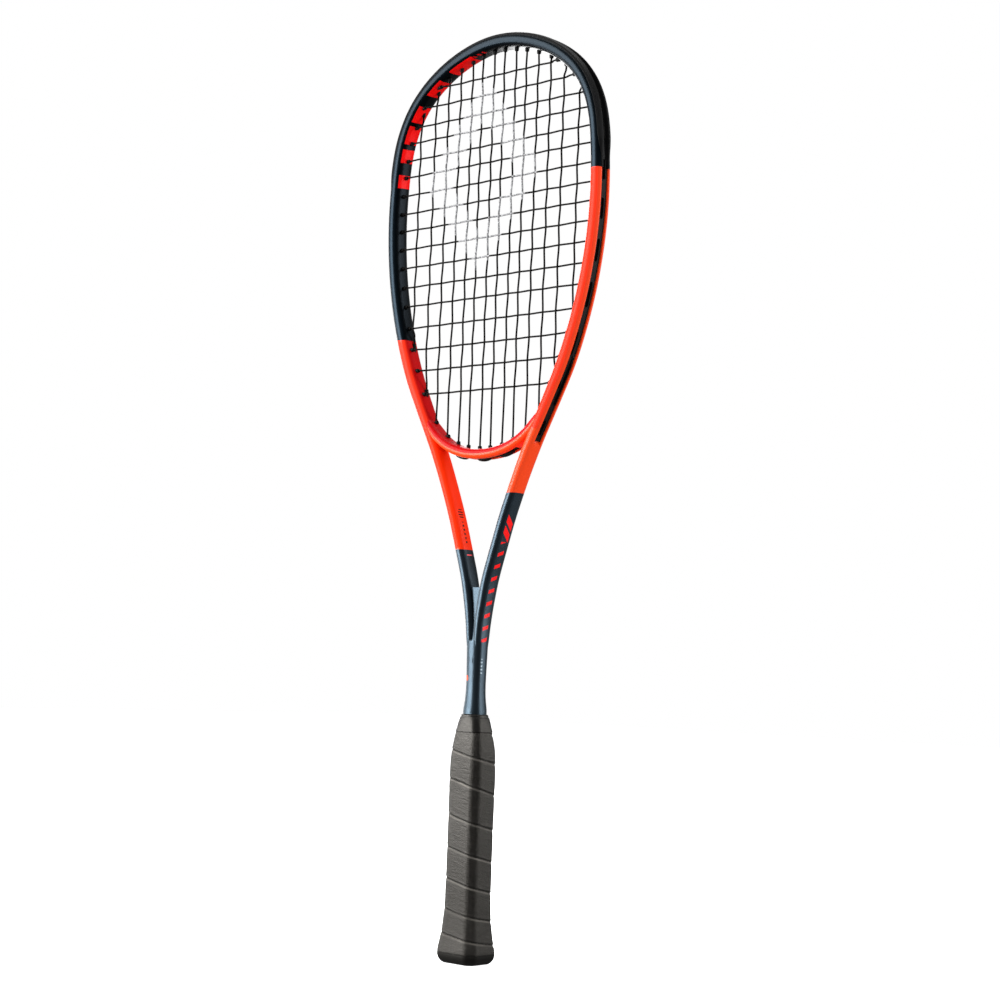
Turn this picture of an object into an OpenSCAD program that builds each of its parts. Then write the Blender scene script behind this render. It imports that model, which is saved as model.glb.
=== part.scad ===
// Squash racket: hollow carbon hairpin frame with a bridged throat, 14 x 17 string bed,
// bumper and grommet strips, padded octagonal handle with a wound grip and a rubber collar.
// Origin: centre of the flat bottom of the butt cap. +Z runs up the handle to the tip of the
// head, the string bed lies in the XZ plane, and the front face looks toward -Y.

/* [Frame] */
// Wall thickness of the hollow frame tube
wall = 1.2; // [1.0:0.1:1.3]
// Depth of the groove round the outside of the head
groove_d = 1.6; // [1.5:0.05:1.7]
// Half width of that groove
groove_w = 3.7; // [3.6:0.1:3.9]
// Half width of the shaft across the face
shaft_x = 6.3; // [6.1:0.1:6.5]
// Half depth of the shaft
shaft_y = 6.5; // [6.3:0.1:6.7]

/* [Strings] */
// String diameter
string_d = 1.25; // [1.1:0.05:1.3]
// How far each string is bent aside at a crossing
weave = 0.69; // [0.69:0.01:0.75]
// Outside diameter of the grommet barrels
barrel_d = 3.1; // [2.9:0.1:3.2]
// Inside diameter of the grommet barrels
barrel_bore = 2.0; // [1.9:0.1:2.1]
// How far the barrels stand out inside the head
barrel_out = 2.2; // [1.5:0.1:2.5]

/* [Head guard] */
// How far the bumper stands out from the frame
bumper_t = 1.2; // [0.8:0.1:1.4]
// Height above the butt at which the bumper ends
bumper_end = 568; // [560:1:574]

/* [Handle] */
// Width of the gripped handle across the face
grip_w = 30; // [29.5:0.1:30.5]
// Depth of the gripped handle
grip_h = 25; // [24.5:0.1:25.5]
// Thickness of the grip band
grip_t = 1.8; // [1.6:0.1:2.0]
// Rise of the grip band for each turn
grip_pitch = 23; // [22:0.5:25]
// Gap that shows as the seam between turns
grip_seam = 0.5; // [0.4:0.1:0.8]
// Height of the exposed foot of the butt cap
cap_foot = 8; // [7:0.5:9]

/* [Collar] */
// Height at which the rubber collar rests
collar_z = 165.5; // [165.5:0.1:166.5]
// Height of the collar
collar_h = 15; // [14:0.5:16]
// How far the collar has been rolled up the shaft
collar_lift = 0; // [0:1:35]

/* [Hidden] */

navy = [0.10, 0.13, 0.16];
flame = [0.95, 0.16, 0.06];
black = [0.07, 0.07, 0.07];
rubber = [0.13, 0.12, 0.11];
foam = [0.55, 0.50, 0.42];
steel = [0.70, 0.71, 0.73];
gut = [0.05, 0.05, 0.05];

sr = string_d / 2;
floor_t = 0.8;            // thickness of the grommet strip under the strings
groove_end = 377;         // height at which the side grooves end on the legs
stagger = 1.75;           // sideways shift of the holes that would otherwise meet at a corner

// Centre line of the right half of the frame, from inside the shaft up to the tip:
// [x, z, half thickness in the plane, half depth]
rail = [
    [3.0, 214, 3.2, 6.3], [3.3, 225, 3.4, 6.7], [3.7, 235, 3.5, 6.9], [4.5, 245, 3.7, 7.1],
    [5.8, 255, 3.9, 7.2], [7.7, 265.5, 4.0, 7.3], [10, 276, 4.0, 7.4], [14.3, 290.5, 4.0, 7.4],
    [19, 305, 4.0, 7.4], [24, 320, 4.0, 7.4], [29.7, 335, 4.0, 7.4], [35.8, 350, 4.0, 7.4],
    [42.4, 365, 4.1, 7.5], [49.6, 380, 4.2, 7.5], [57.4, 395, 4.4, 7.5], [65.6, 411, 4.6, 7.6],
    [74, 428, 4.8, 7.7], [84.2, 454, 4.9, 7.7], [91.3, 477.5, 4.9, 7.7], [96.1, 499, 4.9, 7.7],
    [99.3, 519.5, 4.9, 7.7], [101.2, 540.5, 4.9, 7.7], [101.7, 563, 4.9, 7.7],
    [100.4, 588, 4.9, 7.7], [95.6, 617, 4.9, 7.7], [82.2, 643.0, 4.8, 7.8],
    [59.2, 662.8, 4.9, 7.9], [31.0, 675.2, 4.9, 8.0], [0, 679.9, 4.9, 8.0]];

// Centre line of the right half of the throat bridge, from inside the leg to the middle
span = [[60.6, 401.4, 3.0, 6.0], [56.8, 396.4, 3.6, 6.9], [49.6, 388, 4.1, 7.4], [39.7, 380, 4.0, 7.4],
        [31.8, 375.7, 4.0, 7.5], [31, 375.35, 4.0, 7.5], [20.5, 371.8, 4.0, 7.5], [10, 369.9, 4.0, 7.5], [0, 369.4, 4.0, 7.5]];

main_x = [5.2, 16.7, 27.2, 39, 51.4, 64.6, 79.9];
cross_z = [656.3, 642.6, 628.7, 616.8, 603.2, 590.2, 575.7, 561.4, 547.7, 533.2, 518.4, 502.9,
           487.9, 470.6, 453.4, 436.7, 418.1];

// ---- curves ----
function xz(p) = [p[0], p[1]];
function chord(a, b) = norm(xz(b) - xz(a));
function flip(p) = [-p[0], p[1], p[2], p[3]];
// neighbour list with the mirrored point past the end on the centre plane
function ext(c) = concat([2 * c[0] - c[1]], c, [flip(c[len(c) - 2])]);
function slope(c, i) = let (h0 = chord(c[i - 1], c[i]), h1 = chord(c[i], c[i + 1]))
    (h1 * (c[i] - c[i - 1]) / h0 + h0 * (c[i + 1] - c[i]) / h1) / (h0 + h1);
function herm(p, q, m, n, t) = (2 * t * t * t - 3 * t * t + 1) * p + (t * t * t - 2 * t * t + t) * m
    + (3 * t * t - 2 * t * t * t) * q + (t * t * t - t * t) * n;
// the right half of a curve, about `step` mm between points, ending on the centre plane
function half(c, step) = let (e = ext(c)) concat([for (i = [1 : len(c) - 1])
    let (h = chord(e[i], e[i + 1]), k = max(1, round(h / step)),
         m = slope(e, i) * h, n = slope(e, i + 1) * h)
    for (j = [0 : k - 1]) herm(e[i], e[i + 1], m, n, j / k)], [c[len(c) - 1]]);
// the same half curve with points added at the heights in zs
function with_z(c, zs) = concat([c[0]], [for (i = [1 : len(c) - 1]) for (p = concat(
    [for (z = zs) if (c[i - 1][1] < z && c[i][1] > z) mix_z(c[i - 1], c[i], z)], [c[i]])) p]);
function mix_z(a, b, z) = a + (b - a) * (z - a[1]) / (b[1] - a[1]);
// the stretch of one side of a curve between two heights
function stretch(c, s, lo, hi) = let (r = [for (p = c) if (p[0] >= 0) p],
    o = [for (i = [1 : len(r) - 1]) for (p = concat(
        r[i - 1][1] <= lo && r[i][1] > lo ? [mix_z(r[i - 1], r[i], lo)] : [],
        r[i][1] > lo + 2 && r[i][1] < hi - 2 ? [r[i]] : [],
        r[i - 1][1] <= hi && r[i][1] > hi ? [mix_z(r[i - 1], r[i], hi)] : [])) p])
    s > 0 ? o : rev([for (p = o) flip(p)]);
function whole(h) = concat(h, [for (i = [len(h) - 2 : -1 : 0]) flip(h[i])]);
// outward normal at point i of a curve that runs right, over, left
function tang(c, i) = let (a = c[max(0, i - 1)], b = c[min(len(c) - 1, i + 1)], d = xz(b) - xz(a))
    d / norm(d);
function outw(c, i) = let (t = tang(c, i)) [t[1], -t[0]];
// the curve shifted outward by k times its half thickness plus d
function shifted(c, k, d) = [for (i = [0 : len(c) - 1]) xz(c[i]) + outw(c, i) * (k * c[i][2] + d)];

rail_f = whole(with_z(half(rail, 11), [groove_end - 2.5, groove_end]));
rail_c = whole(half(rail, 18));
rail_h = whole(half(rail, 5));
span_f = whole(half(span, 9));
span_h = whole(half(span, 4));

// heights and widths on shifted curves
function pick(c, lo, hi) = [for (p = c) if (p[0] >= 0 && p[1] >= lo && p[1] <= hi) p];
function rev(c) = [for (i = [len(c) - 1 : -1 : 0]) c[i]];
function top_z(x, k, d) = lookup(abs(x), rev(pick(shifted(rail_h, k, d), 571, 720)));
function side_x(z, k, d) = lookup(z, [for (p = pick(shifted(rail_h, k, d), 330, 720)) [p[1], p[0]]]);
// below: the legs outside the bridge, the bridge between (its outside looks down)
function leg_z(x, k, d) = lookup(abs(x), pick(shifted(rail_h, k, d), 330, 520));
function span_z(x, k, d) = lookup(abs(x), [for (p = rev(shifted(span_h, -k, -d))) if (p[0] >= 0) p]);
function low_z(x, k, d) = abs(x) > 58 ? leg_z(x, k, d) : span_z(x, k, d);
// the mains of the corners slant through bridge and leg to these heights in the side groove
slant_z = [381, 391];
function slants(i) = i == 3 || i == 4;
function slant_in(i) = [main_x[i], span_z(main_x[i], -1, 0)];
function slant_out(i) = [side_x(slant_z[i - 3], 1, -groove_d), slant_z[i - 3]];
function slant_u(i) = let (v = slant_out(i) - slant_in(i)) v / norm(v);
function slant_pt(i, k, d) = k > 0 ? slant_out(i) + slant_u(i) * (d + groove_d) : slant_in(i) + slant_u(i) * d;

function gate(z) = groove_d * min(1, max(0, (z - groove_end + 2.5) / 2.5));
string_off = floor_t + sr + 0.34 - groove_d;   // string line above the frame's own surface

function near_corner_m(i) = i >= 5;
function near_corner_c(j) = j < 2 || j > 13;
function hole_my(i) = near_corner_m(i) ? stagger : 0;
function hole_cy(j) = near_corner_c(j) ? -stagger : 0;

// ---- sections: [u outward, v depth] ----
function se(a, b, t, n) = [a * sign(cos(t)) * pow(abs(cos(t)), 2 / n), b * sign(sin(t)) * pow(abs(sin(t)), 2 / n)];
// oval tube with a groove in its outer side
function tube_ring(a, b, g) = let (n = 2.5, tv = asin(pow(groove_w / b, n / 2)),
    up = concat([[a - g, groove_w - 0.1]], [for (t = [tv, 57, 77, 103, 138]) se(a, b, t, n)]))
    concat(up, [[-a, 0]], [for (i = [5 : -1 : 0]) [up[i][0], -up[i][1]]]);
function core_ring(a, b, g) = let (n = 2.3, w = wall)
    [for (t = [30 : 60 : 350]) let (p = se(a - w, b - w, t, n)) [min(p[0], a - g - w), p[1]]];
function put(c, i, r) = let (n = outw(c, i)) [for (q = r) [c[i][0] + n[0] * q[0], q[1], c[i][1] + n[1] * q[0]]];

module skin(rings, cap = []) {
    n = len(rings); m = len(rings[0]);
    end = len(cap) > 0 ? cap : [[for (i = [0 : m - 1]) i]];
    polyhedron(points = [for (r = rings) for (p = r) p], faces = concat(
        end, [for (f = end) [for (k = rev(f)) (n - 1) * m + k]],
        [for (i = [0 : n - 2]) for (j = [0 : m - 1]) for (k = [0, 1])
            let (a = i * m + j, b = i * m + (j + 1) % m)
            k == 0 ? [a, a + m, b] : [b, a + m, b + m]]), convexity = 12);
}
// round cord through a list of points
module cord(p, r, k = 5) skin([for (i = [0 : len(p) - 1])
    let (a = p[max(0, i - 1)], b = p[min(len(p) - 1, i + 1)], t = (b - a) / norm(b - a),
         s0 = cross([0, 1, 0], t), s = s0 / norm(s0), q = cross(t, s))
    [for (j = [0 : k - 1]) p[i] + r * (cos(j * 360 / k) * s + sin(j * 360 / k) * q)]]);
// cylinder between two points
module rod(a, b, d, f = 24) {
    v = b - a; h = norm(v);
    translate(a) rotate([0, acos(v[2] / h), atan2(v[1], v[0])]) cylinder(d = d, h = h, $fn = f);
}

// ---- string holes: ends of each barrel's axis ----
function m_top(s, i, k, d) = [s * main_x[i], hole_my(i), top_z(main_x[i], k, d)];
function m_low(s, i, k, d) = slants(i) ? let (p = slant_pt(i, k, d)) [s * p[0], 0, p[1]]
    : [s * main_x[i], hole_my(i), low_z(main_x[i], k, d)];
function c_side(s, j, k, d) = [s * side_x(cross_z[j], k, d), hole_cy(j), cross_z[j]];
seat = 0.35 - groove_d;

module head_holes(d, f, over, under) {
    for (s = [-1, 1]) for (i = [0 : 6]) hull() rod(m_top(s, i, 1, over), m_top(s, i, -1, -under), d, f);
}
module side_holes(s, d, f, over, under, j0 = 0, j1 = 16)
    for (j = [j0 : j1]) hull() rod(c_side(s, j, 1, over), c_side(s, j, -1, -under), d, f);
module foot_holes(s, d, f, over, under)
    for (i = [3 : 6]) hull() rod(m_low(s, i, 1, over), m_low(s, i, -1, -under), d, f);
module span_holes(d, f, over, under)
    for (s = [-1, 1]) for (i = [0 : 4]) hull() rod(m_low(s, i, 1, over), m_low(s, i, -1, -under), d, f);

// ---- frame ----
function shaft_ring(x, y, z, n = 24) = [for (i = [0 : n - 1]) let (p = se(x, y, i * 360 / n, 2.4)) [p[0], p[1], z]];
module shaft_outer(grow = 0) skin([for (q = [[12, 0, 0], [170.6, 0, 0], [176, 1.2, 1.2], [181, 1.3, 1.3], [184.5, 1, 1], [189, 0.45, 0.45], [195, 0, 0],
    [208, 0, 0], [217, 0.2, 0.2], [225, 0.5, 0.4], [233, 0.6, 0.4]])
    shaft_ring(shaft_x + q[1] + grow, shaft_y + q[2] + grow, q[0])]);
module web() skin([for (q = [[222, 3.5, 6.8], [230, 3.6, 6.4], [240, 4.2, 5.4], [250, 5, 4.9], [260, 6.2, 4.6], [268.5, 8, 4.3]])
    [for (p = [[-1, -1], [1, -1], [1, 1], [-1, 1]]) [p[0] * q[1], p[1] * q[2], q[0]]]]);
module rail_solid(grow = 0) skin([for (i = [0 : len(rail_f) - 1])
    put(rail_f, i, tube_ring(rail_f[i][2] + grow, rail_f[i][3] + grow, gate(rail_f[i][1])))]);
module rail_core() skin([for (i = [1 : len(rail_c) - 2])
    put(rail_c, i, core_ring(rail_c[i][2], rail_c[i][3], gate(rail_c[i][1])))]);
module shaft_core(s) skin([for (z = [11, 222])
    [for (t = [-85, -55, -20, 20, 55, 85]) let (p = se(shaft_x - wall, shaft_y - wall, t, 2.4)) [s * max(0.7, p[0]), s * p[1], z]]]);

module frame_tube() color(navy) difference() {
    union() { rail_solid(); shaft_outer(); web(); }
    rail_core();
    shaft_core(1); shaft_core(-1);
    head_holes(barrel_d + 0.6, 6, 3, 4);
    for (s = [-1, 1]) { side_holes(s, barrel_d + 0.6, 6, 3, 4); foot_holes(s, barrel_d + 0.6, 6, 3, 4); }
}

module throat_bridge() color(flame) difference() {
    skin([for (i = [0 : len(span_f) - 1]) put(span_f, i, [for (q = tube_ring(span_f[i][2], span_f[i][3],
        abs(span_f[i][0]) < 31.3 ? groove_d : 0)) [-q[0], -q[1]]])]);
    skin([for (i = [2 : len(span_f) - 3]) put(span_f, i, [for (q = core_ring(span_f[i][2], span_f[i][3], groove_d)) [-q[0], -q[1]]])]);
    rail_solid(0.03);
    span_holes(barrel_d + 0.6, 6, 3, 4);
}

// ---- guards and strips ----
function u_at(a, b, v) = a * pow(1 - pow(abs(v) / b, 2.5), 0.4);
function strip_ring(a) = let (lo = a - groove_d + 0.04, w = groove_w - 0.2)
    rev([[lo, w], [lo + 1.4, w], [lo + 1.4, w - 0.55], [lo + floor_t, w - 0.7],
     [lo + floor_t, 0.7 - w], [lo + 1.4, 0.55 - w], [lo + 1.4, -w], [lo, -w]]);
function bumper_ring(a, b) = let (lo = a - groove_d + 0.04, w = groove_w - 0.2)
    rev([[lo, w], [u_at(a, b, groove_w) + 0.14, w], [u_at(a, b, 5.6) + 0.12, 5.6], [u_at(a, b, 5.9) + 0.75, 5.9],
     [a + bumper_t - 0.25, 5.0], [a + bumper_t, 4.2], [a + bumper_t, 3.1], [lo + floor_t, 2.75],
     [lo + floor_t, -2.75], [a + bumper_t, -3.1], [a + bumper_t, -4.2], [a + bumper_t - 0.25, -5.0],
     [u_at(a, b, 5.9) + 0.75, -5.9], [u_at(a, b, 5.6) + 0.12, -5.6], [u_at(a, b, groove_w) + 0.14, -w], [lo, -w]]);

module bumper_guard() color(black) difference() {
    path = whole(stretch(rail_f, 1, bumper_end, 700));
    union() {
        skin([for (i = [0 : len(path) - 1]) put(path, i, bumper_ring(path[i][2], path[i][3]))]);
        for (s = [-1, 1]) {
            for (i = [0 : 6]) hull() rod(m_top(s, i, 1, seat), m_top(s, i, -1, -barrel_out), barrel_d, 6);
            for (j = [0 : 6]) hull() rod(c_side(s, j, 1, seat), c_side(s, j, -1, -barrel_out), barrel_d, 6);
        }
    }
    for (s = [-1, 1]) {
        for (i = [0 : 6]) hull() rod(m_top(s, i, 1, 3), m_top(s, i, -1, -4), barrel_bore, 6);
        for (j = [0 : 6]) hull() rod(c_side(s, j, 1, 3), c_side(s, j, -1, -4), barrel_bore, 6);
    }
}
module side_strip(s) color(black) difference() {
    path = stretch(rail_f, s, groove_end + 0.4, bumper_end - 0.4);
    union() {
        skin([for (i = [0 : len(path) - 1]) put(path, i, strip_ring(path[i][2]))]);
        for (i = [3 : 6]) rod(m_low(s, i, 1, seat), m_low(s, i, -1, -barrel_out), barrel_d);
        for (j = [7 : 16]) rod(c_side(s, j, 1, seat), c_side(s, j, -1, -barrel_out), barrel_d);
    }
    for (i = [3 : 6]) rod(m_low(s, i, 1, 3), m_low(s, i, -1, -4), barrel_bore);
    for (j = [7 : 16]) rod(c_side(s, j, 1, 3), c_side(s, j, -1, -4), barrel_bore);
}
module grommet_strip_left() side_strip(-1);
module grommet_strip_right() side_strip(1);
module throat_grommet_strip() color(black) difference() {
    union() {
        skin([for (i = [0 : len(span_f) - 1]) if (abs(span_f[i][0]) < 31.3)
            put(span_f, i, [for (q = strip_ring(span_f[i][2])) [-q[0], -q[1]]])]);
        for (s = [-1, 1]) for (i = [0 : 2]) rod(m_low(s, i, 1, seat), m_low(s, i, -1, -barrel_out), barrel_d);
    }
    for (s = [-1, 1]) for (i = [0 : 2]) rod(m_low(s, i, 1, 3), m_low(s, i, -1, -4), barrel_bore);
}

// ---- strings ----
function mx(n) = n < 7 ? -main_x[6 - n] : main_x[n - 7];
function mi(n) = n < 7 ? 6 - n : n - 7;
function wv(n, j) = ((n + j) % 2 == 0 ? 1 : -1) * weave;
// crossings that lie inside the head for main n
function inside(n, j) = abs(mx(n)) < side_x(cross_z[j], -1, -barrel_out - 2)
    && cross_z[j] < top_z(mx(n), -1, -barrel_out - 2) && cross_z[j] > low_z(mx(n), -1, -barrel_out - 2);
// one main from its low hole to its top hole
function main_up(n) = let (x = mx(n), y = hole_my(mi(n)), t = top_z(x, 1, string_off), ti = top_z(x, -1, -barrel_out - 0.8),
    s = sign(x), lo = m_low(s, mi(n), 1, string_off), li = m_low(s, mi(n), -1, -barrel_out - 0.8)) concat(
    [lo + 1.1 * (li - lo) / norm(li - lo), li],
    [for (j = [16 : -1 : 0]) if (inside(n, j)) [x, wv(n, j), cross_z[j]]],
    [[x, y, ti], [x, y, t - 1.1]]);
// loop along the outside from main n to main n + 1
function head_loop(n) = let (a = mx(n), b = mx(n + 1), ya = hole_my(mi(n)), yb = hole_my(mi(n + 1)))
    [for (q = [0.35, 1.1, (b - a) / 4, (b - a) / 2, (b - a) * 3 / 4, b - a - 1.1, b - a - 0.35])
        let (f = q / (b - a), dz = (q == 0.35 || f > 1 - 0.36 / (b - a)) ? 0.2 : 0)
        [a + q, ya + (yb - ya) * f, top_z(a + q, 1, string_off) - dz]];
function low_loop(n) = slants(mi(n)) ? slant_loop(n) : let (a = mx(n), b = mx(n + 1), ya = hole_my(mi(n)), yb = hole_my(mi(n + 1)))
    [for (q = [0.35, 1.1, (b - a) / 4, (b - a) / 2, (b - a) * 3 / 4, b - a - 1.1, b - a - 0.35])
        let (f = q / (b - a), dz = (q == 0.35 || f > 1 - 0.36 / (b - a)) ? 0.2 : 0)
        [a + q, ya + (yb - ya) * f, low_z(a + q, 1, string_off) + dz]];
function slant_loop(n) = let (s = sign(mx(n)), a = slant_z[mi(n) - 3], b = slant_z[mi(n + 1) - 3], h = b - a)
    [for (f = [0.04, 0.12, 0.5, 0.88, 0.96]) let (z = a + h * f) [s * (side_x(z, 1, string_off) - (abs(f - 0.5) > 0.4 ? 0.15 : 0)), 0, z]];
function tail_m(s) = let (x = s * main_x[6]) [for (q = [0.35, 1.1, 4.5])
    [x + s * q, stagger, top_z(x + s * q, 1, string_off + 0.12) - (q == 0.35 ? 0.1 : 0)]];
module main_string() color(gut) cord(concat(rev(tail_m(-1)),
    [for (n = [0 : 13]) for (p = (n % 2 == 0 ? concat(rev(main_up(n)), low_loop(n))
        : concat(main_up(n), n < 13 ? head_loop(n) : []))) p], tail_m(1)), sr);

// one cross from the left hole to the right hole
function cross_right(j) = let (z = cross_z[j], y = hole_cy(j), o = side_x(z, 1, string_off) - 1.1, i = side_x(z, -1, -barrel_out - 0.8)) concat(
    [[-o, y, z], [-i, y, z]],
    [for (n = [0 : 13]) if (inside(n, j)) [mx(n), -wv(n, j), z]],
    [[i, y, z], [o, y, z]]);
function side_loop(j, s) = let (a = cross_z[j], b = cross_z[j + 1], ya = hole_cy(j), yb = hole_cy(j + 1), h = a - b)
    [for (q = [0.35, 1.1, h / 4, h / 2, h * 3 / 4, h - 1.1, h - 0.35]) let (f = q / h, dx = (q == 0.35 || f > 1 - 0.36 / h) ? 0.2 : 0)
        [s * (side_x(a - q, 1, string_off) - dx), ya + (yb - ya) * f, a - q]];
function tail_c(j, s, u) = [for (q = [0.35, 1.1, 4.5]) let (z = cross_z[j] + u * q)
    [s * (side_x(z, 1, string_off + 0.12) - (q == 0.35 ? 0.1 : 0)), hole_cy(j), z]];
module cross_string() color(gut) cord(concat(rev(tail_c(0, -1, 1)),
    [for (j = [0 : 16]) for (p = (j % 2 == 0 ? concat(cross_right(j), j < 16 ? side_loop(j, 1) : [])
        : concat(rev(cross_right(j)), side_loop(j, -1)))) p], tail_c(16, 1, -1)), sr);

// ---- handle ----
// size of the wrapped handle up its length, as a share of the straight part
flare = [[0, 1.26], [7.5, 1.295], [15, 1.205], [22, 1.125], [29, 1.07], [36, 1.032], [45, 1.008], [60, 1], [140, 1],
         [146, 0.985], [152, 0.958], [159, 0.885], [166, 0.79], [172, 0.74]];
function fl(z) = lookup(z, flare);
// octagon with the long flats at the front and the corners eased
function oct(w, h) = let (x = w / 2, y = h / 2, fx = w * 0.303, sy = h * 0.268, e = 0.16)
    let (c = [[x, -sy], [x, sy], [fx, y], [-fx, y], [-x, sy], [-x, -sy], [-fx, -y], [fx, -y]])
    [for (i = [0 : 7]) for (k = [0, 1]) let (o = c[(i + (k == 0 ? 7 : 1)) % 8]) c[i] + (o - c[i]) * e];
module oct_body(l, z0, z1, inset) skin([for (z = concat([z0], [for (q = l) if (q > z0 + 0.5 && q < z1 - 0.5) q], [z1]))
    [for (p = oct(grip_w * fl(z) - 2 * inset, grip_h * fl(z) - 2 * inset)) [p[0], p[1], z]]]);
stations = [15, 22, 29, 36, 45, 60, 140, 146, 152, 159, 166];
sleeve_t = 1.4;
under = grip_t + 0.25;

module tip_body(z0, z1, x, y) skin([for (z = [z0, z1]) shaft_ring(x, y, z)]);
module pallet(s) color(foam) difference() {
    union() {
        oct_body(stations, 3, 27, under + sleeve_t + 0.1);
        oct_body(stations, 26.1, 125, grip_t + 0.4);
        oct_body(stations, 124, 165.2, grip_t + 1.1);
        tip_body(165, 170, 9.2, 8.4);
    }
    skin([for (z = [2, 171]) shaft_ring(shaft_x + 0.05, shaft_y + 0.05, z)]);
    translate([-30, s > 0 ? -40 : 0, 0]) cube([60, 40, 200]);
    for (m = [-1, 1]) staple_cut(m);
    rod([9, -30, 14], [9, 0, 14], 1.3);
}
module pallet_front() pallet(-1);
module pallet_back() pallet(1);

module butt_cap() color(black) difference() {
    union() {
        skin([for (q = [[0, -5], [0.5, -3.6], [1.5, -2.4], [3, -1.3], [4.8, -0.5], [cap_foot - 1.2, 0], [cap_foot, -0.35]])
            [for (p = oct(grip_w * fl(q[0]) + 2 * q[1], grip_h * fl(q[0]) + 2 * q[1])) [p[0], p[1], q[0]]]]);
        oct_body(stations, cap_foot - 1, 26, under);
    }
    oct_body(stations, 2.9, 27, under + sleeve_t);
    for (m = [-1, 1]) staple_cut(m);
    rod([9, -30, 14], [9, -2, 14], 1.3);
}
// wire staple: crown outside the sleeve, legs through it into the pallet
function cap_x(z) = grip_w * fl(z) / 2 - under;
module crown(s, m) translate([s * (cap_x(18) - 0.22), 0, 18]) rotate([0, -9.7 * s, 0])
    translate([-0.25 - m, -0.5 - m, -3.6 - m]) cube([0.5 + 2 * m + (m > 0 ? 1 : 0), 1 + 2 * m, 7.2 + 2 * m]);
module staple_cut(s) {
    for (z = [15, 21]) translate([s > 0 ? 8 : -cap_x(z) - 1, -0.65, z - 0.65]) cube([cap_x(z) - 7, 1.3, 1.3]);
    if (s > 0) crown(1, 0.12); else mirror([1, 0, 0]) crown(1, 0.12);
}
module staple(s) color(steel) {
    for (z = [15, 21]) translate([s > 0 ? 9 : -cap_x(z) + 0.25, -0.5, z - 0.5]) cube([cap_x(z) - 9.25, 1, 1]);
    crown(s, 0);
}
module cap_staple_left() staple(-1);
module cap_staple_right() staple(1);

// helical band
g_lo = cap_foot + 0.3; g_hi = 164.9;
function band_pt(z, ang, inset) = let (w = grip_w * fl(z) - 2 * inset, h = grip_h * fl(z) - 2 * inset, o = oct(w, h),
    n = len(o), t = ang % 360, k = floor(t / 360 * n), f = t / 360 * n - k) concat(o[k % n] * (1 - f) + o[(k + 1) % n] * f, [z]);
turns = (g_hi - g_lo) / grip_pitch;
module grip_wrap() color(rubber) mirror([1, 0, 0]) {
    steps = ceil((turns + 1) * 16);
    skin([for (i = [0 : steps]) let (ang = 360 * i / 16 + 247.5, zc = g_lo - grip_pitch + grip_pitch * i / 16,
        a = min(g_hi - 0.05, max(g_lo, zc + grip_seam)), b = min(g_hi, max(g_lo + 0.05, zc + grip_pitch)))
        if (b - a > 1.2)
        let (m = (a + b) / 2) [band_pt(a, ang, grip_t), band_pt(m, ang, grip_t), band_pt(b, ang, grip_t),
            band_pt(b, ang, 0), band_pt(m, ang, 0), band_pt(a, ang, 0)]], [[0, 1, 5], [1, 4, 5], [1, 2, 4], [2, 3, 4]]);
}
module grip_tack() color(steel) {
    rod([9, -(grip_h * fl(14) / 2 - under - 0.6), 14], [9, -7.5, 14], 1.1);
}
module finishing_tape() color(black) difference() {
    tip_body(165.3, 169.5, 9.6, 8.8);
    tip_body(164, 171, 9.25, 8.45);
}

// ---- collar ----
module grip_collar() color(rubber) translate([0, 0, collar_lift]) difference() {
    skin([for (q = [[0, 12.2, 10.6], [1.2, 12.6, 11.0], [5, 11.9, 10.6], [9.5, 10.9, 10.1], [12.5, 10.1, 9.8], [13.6, 9.4, 9.4], [collar_h, 8.8, 9.0]])
        shaft_ring(q[1], q[2], collar_z + q[0])]);
    skin([for (q = [[-1, 10, 9.2], [5, 10, 9.2], [6, 8, 8.2], [collar_h + 1, 8, 8.2]])
        shaft_ring(q[1], q[2], collar_z + q[0])]);
}

frame_tube();
throat_bridge();
bumper_guard();
grommet_strip_left();
grommet_strip_right();
throat_grommet_strip();
main_string();
cross_string();
pallet_front();
pallet_back();
butt_cap();
cap_staple_left();
cap_staple_right();
grip_wrap();
grip_tack();
finishing_tape();
grip_collar();
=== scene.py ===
import math
import bpy
import numpy as np
from mathutils import Matrix, Vector


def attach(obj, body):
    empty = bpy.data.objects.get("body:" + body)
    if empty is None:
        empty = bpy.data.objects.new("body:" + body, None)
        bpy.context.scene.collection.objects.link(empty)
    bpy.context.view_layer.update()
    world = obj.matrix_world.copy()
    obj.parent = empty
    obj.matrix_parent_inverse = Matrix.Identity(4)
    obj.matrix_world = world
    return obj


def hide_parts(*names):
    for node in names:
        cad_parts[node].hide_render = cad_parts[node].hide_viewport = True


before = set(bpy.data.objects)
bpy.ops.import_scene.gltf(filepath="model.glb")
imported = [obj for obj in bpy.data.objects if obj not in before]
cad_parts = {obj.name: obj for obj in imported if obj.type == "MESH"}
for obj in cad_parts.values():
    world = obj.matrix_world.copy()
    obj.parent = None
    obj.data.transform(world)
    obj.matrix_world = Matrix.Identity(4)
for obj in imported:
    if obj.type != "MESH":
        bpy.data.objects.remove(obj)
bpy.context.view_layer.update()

MM = 0.001

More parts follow.
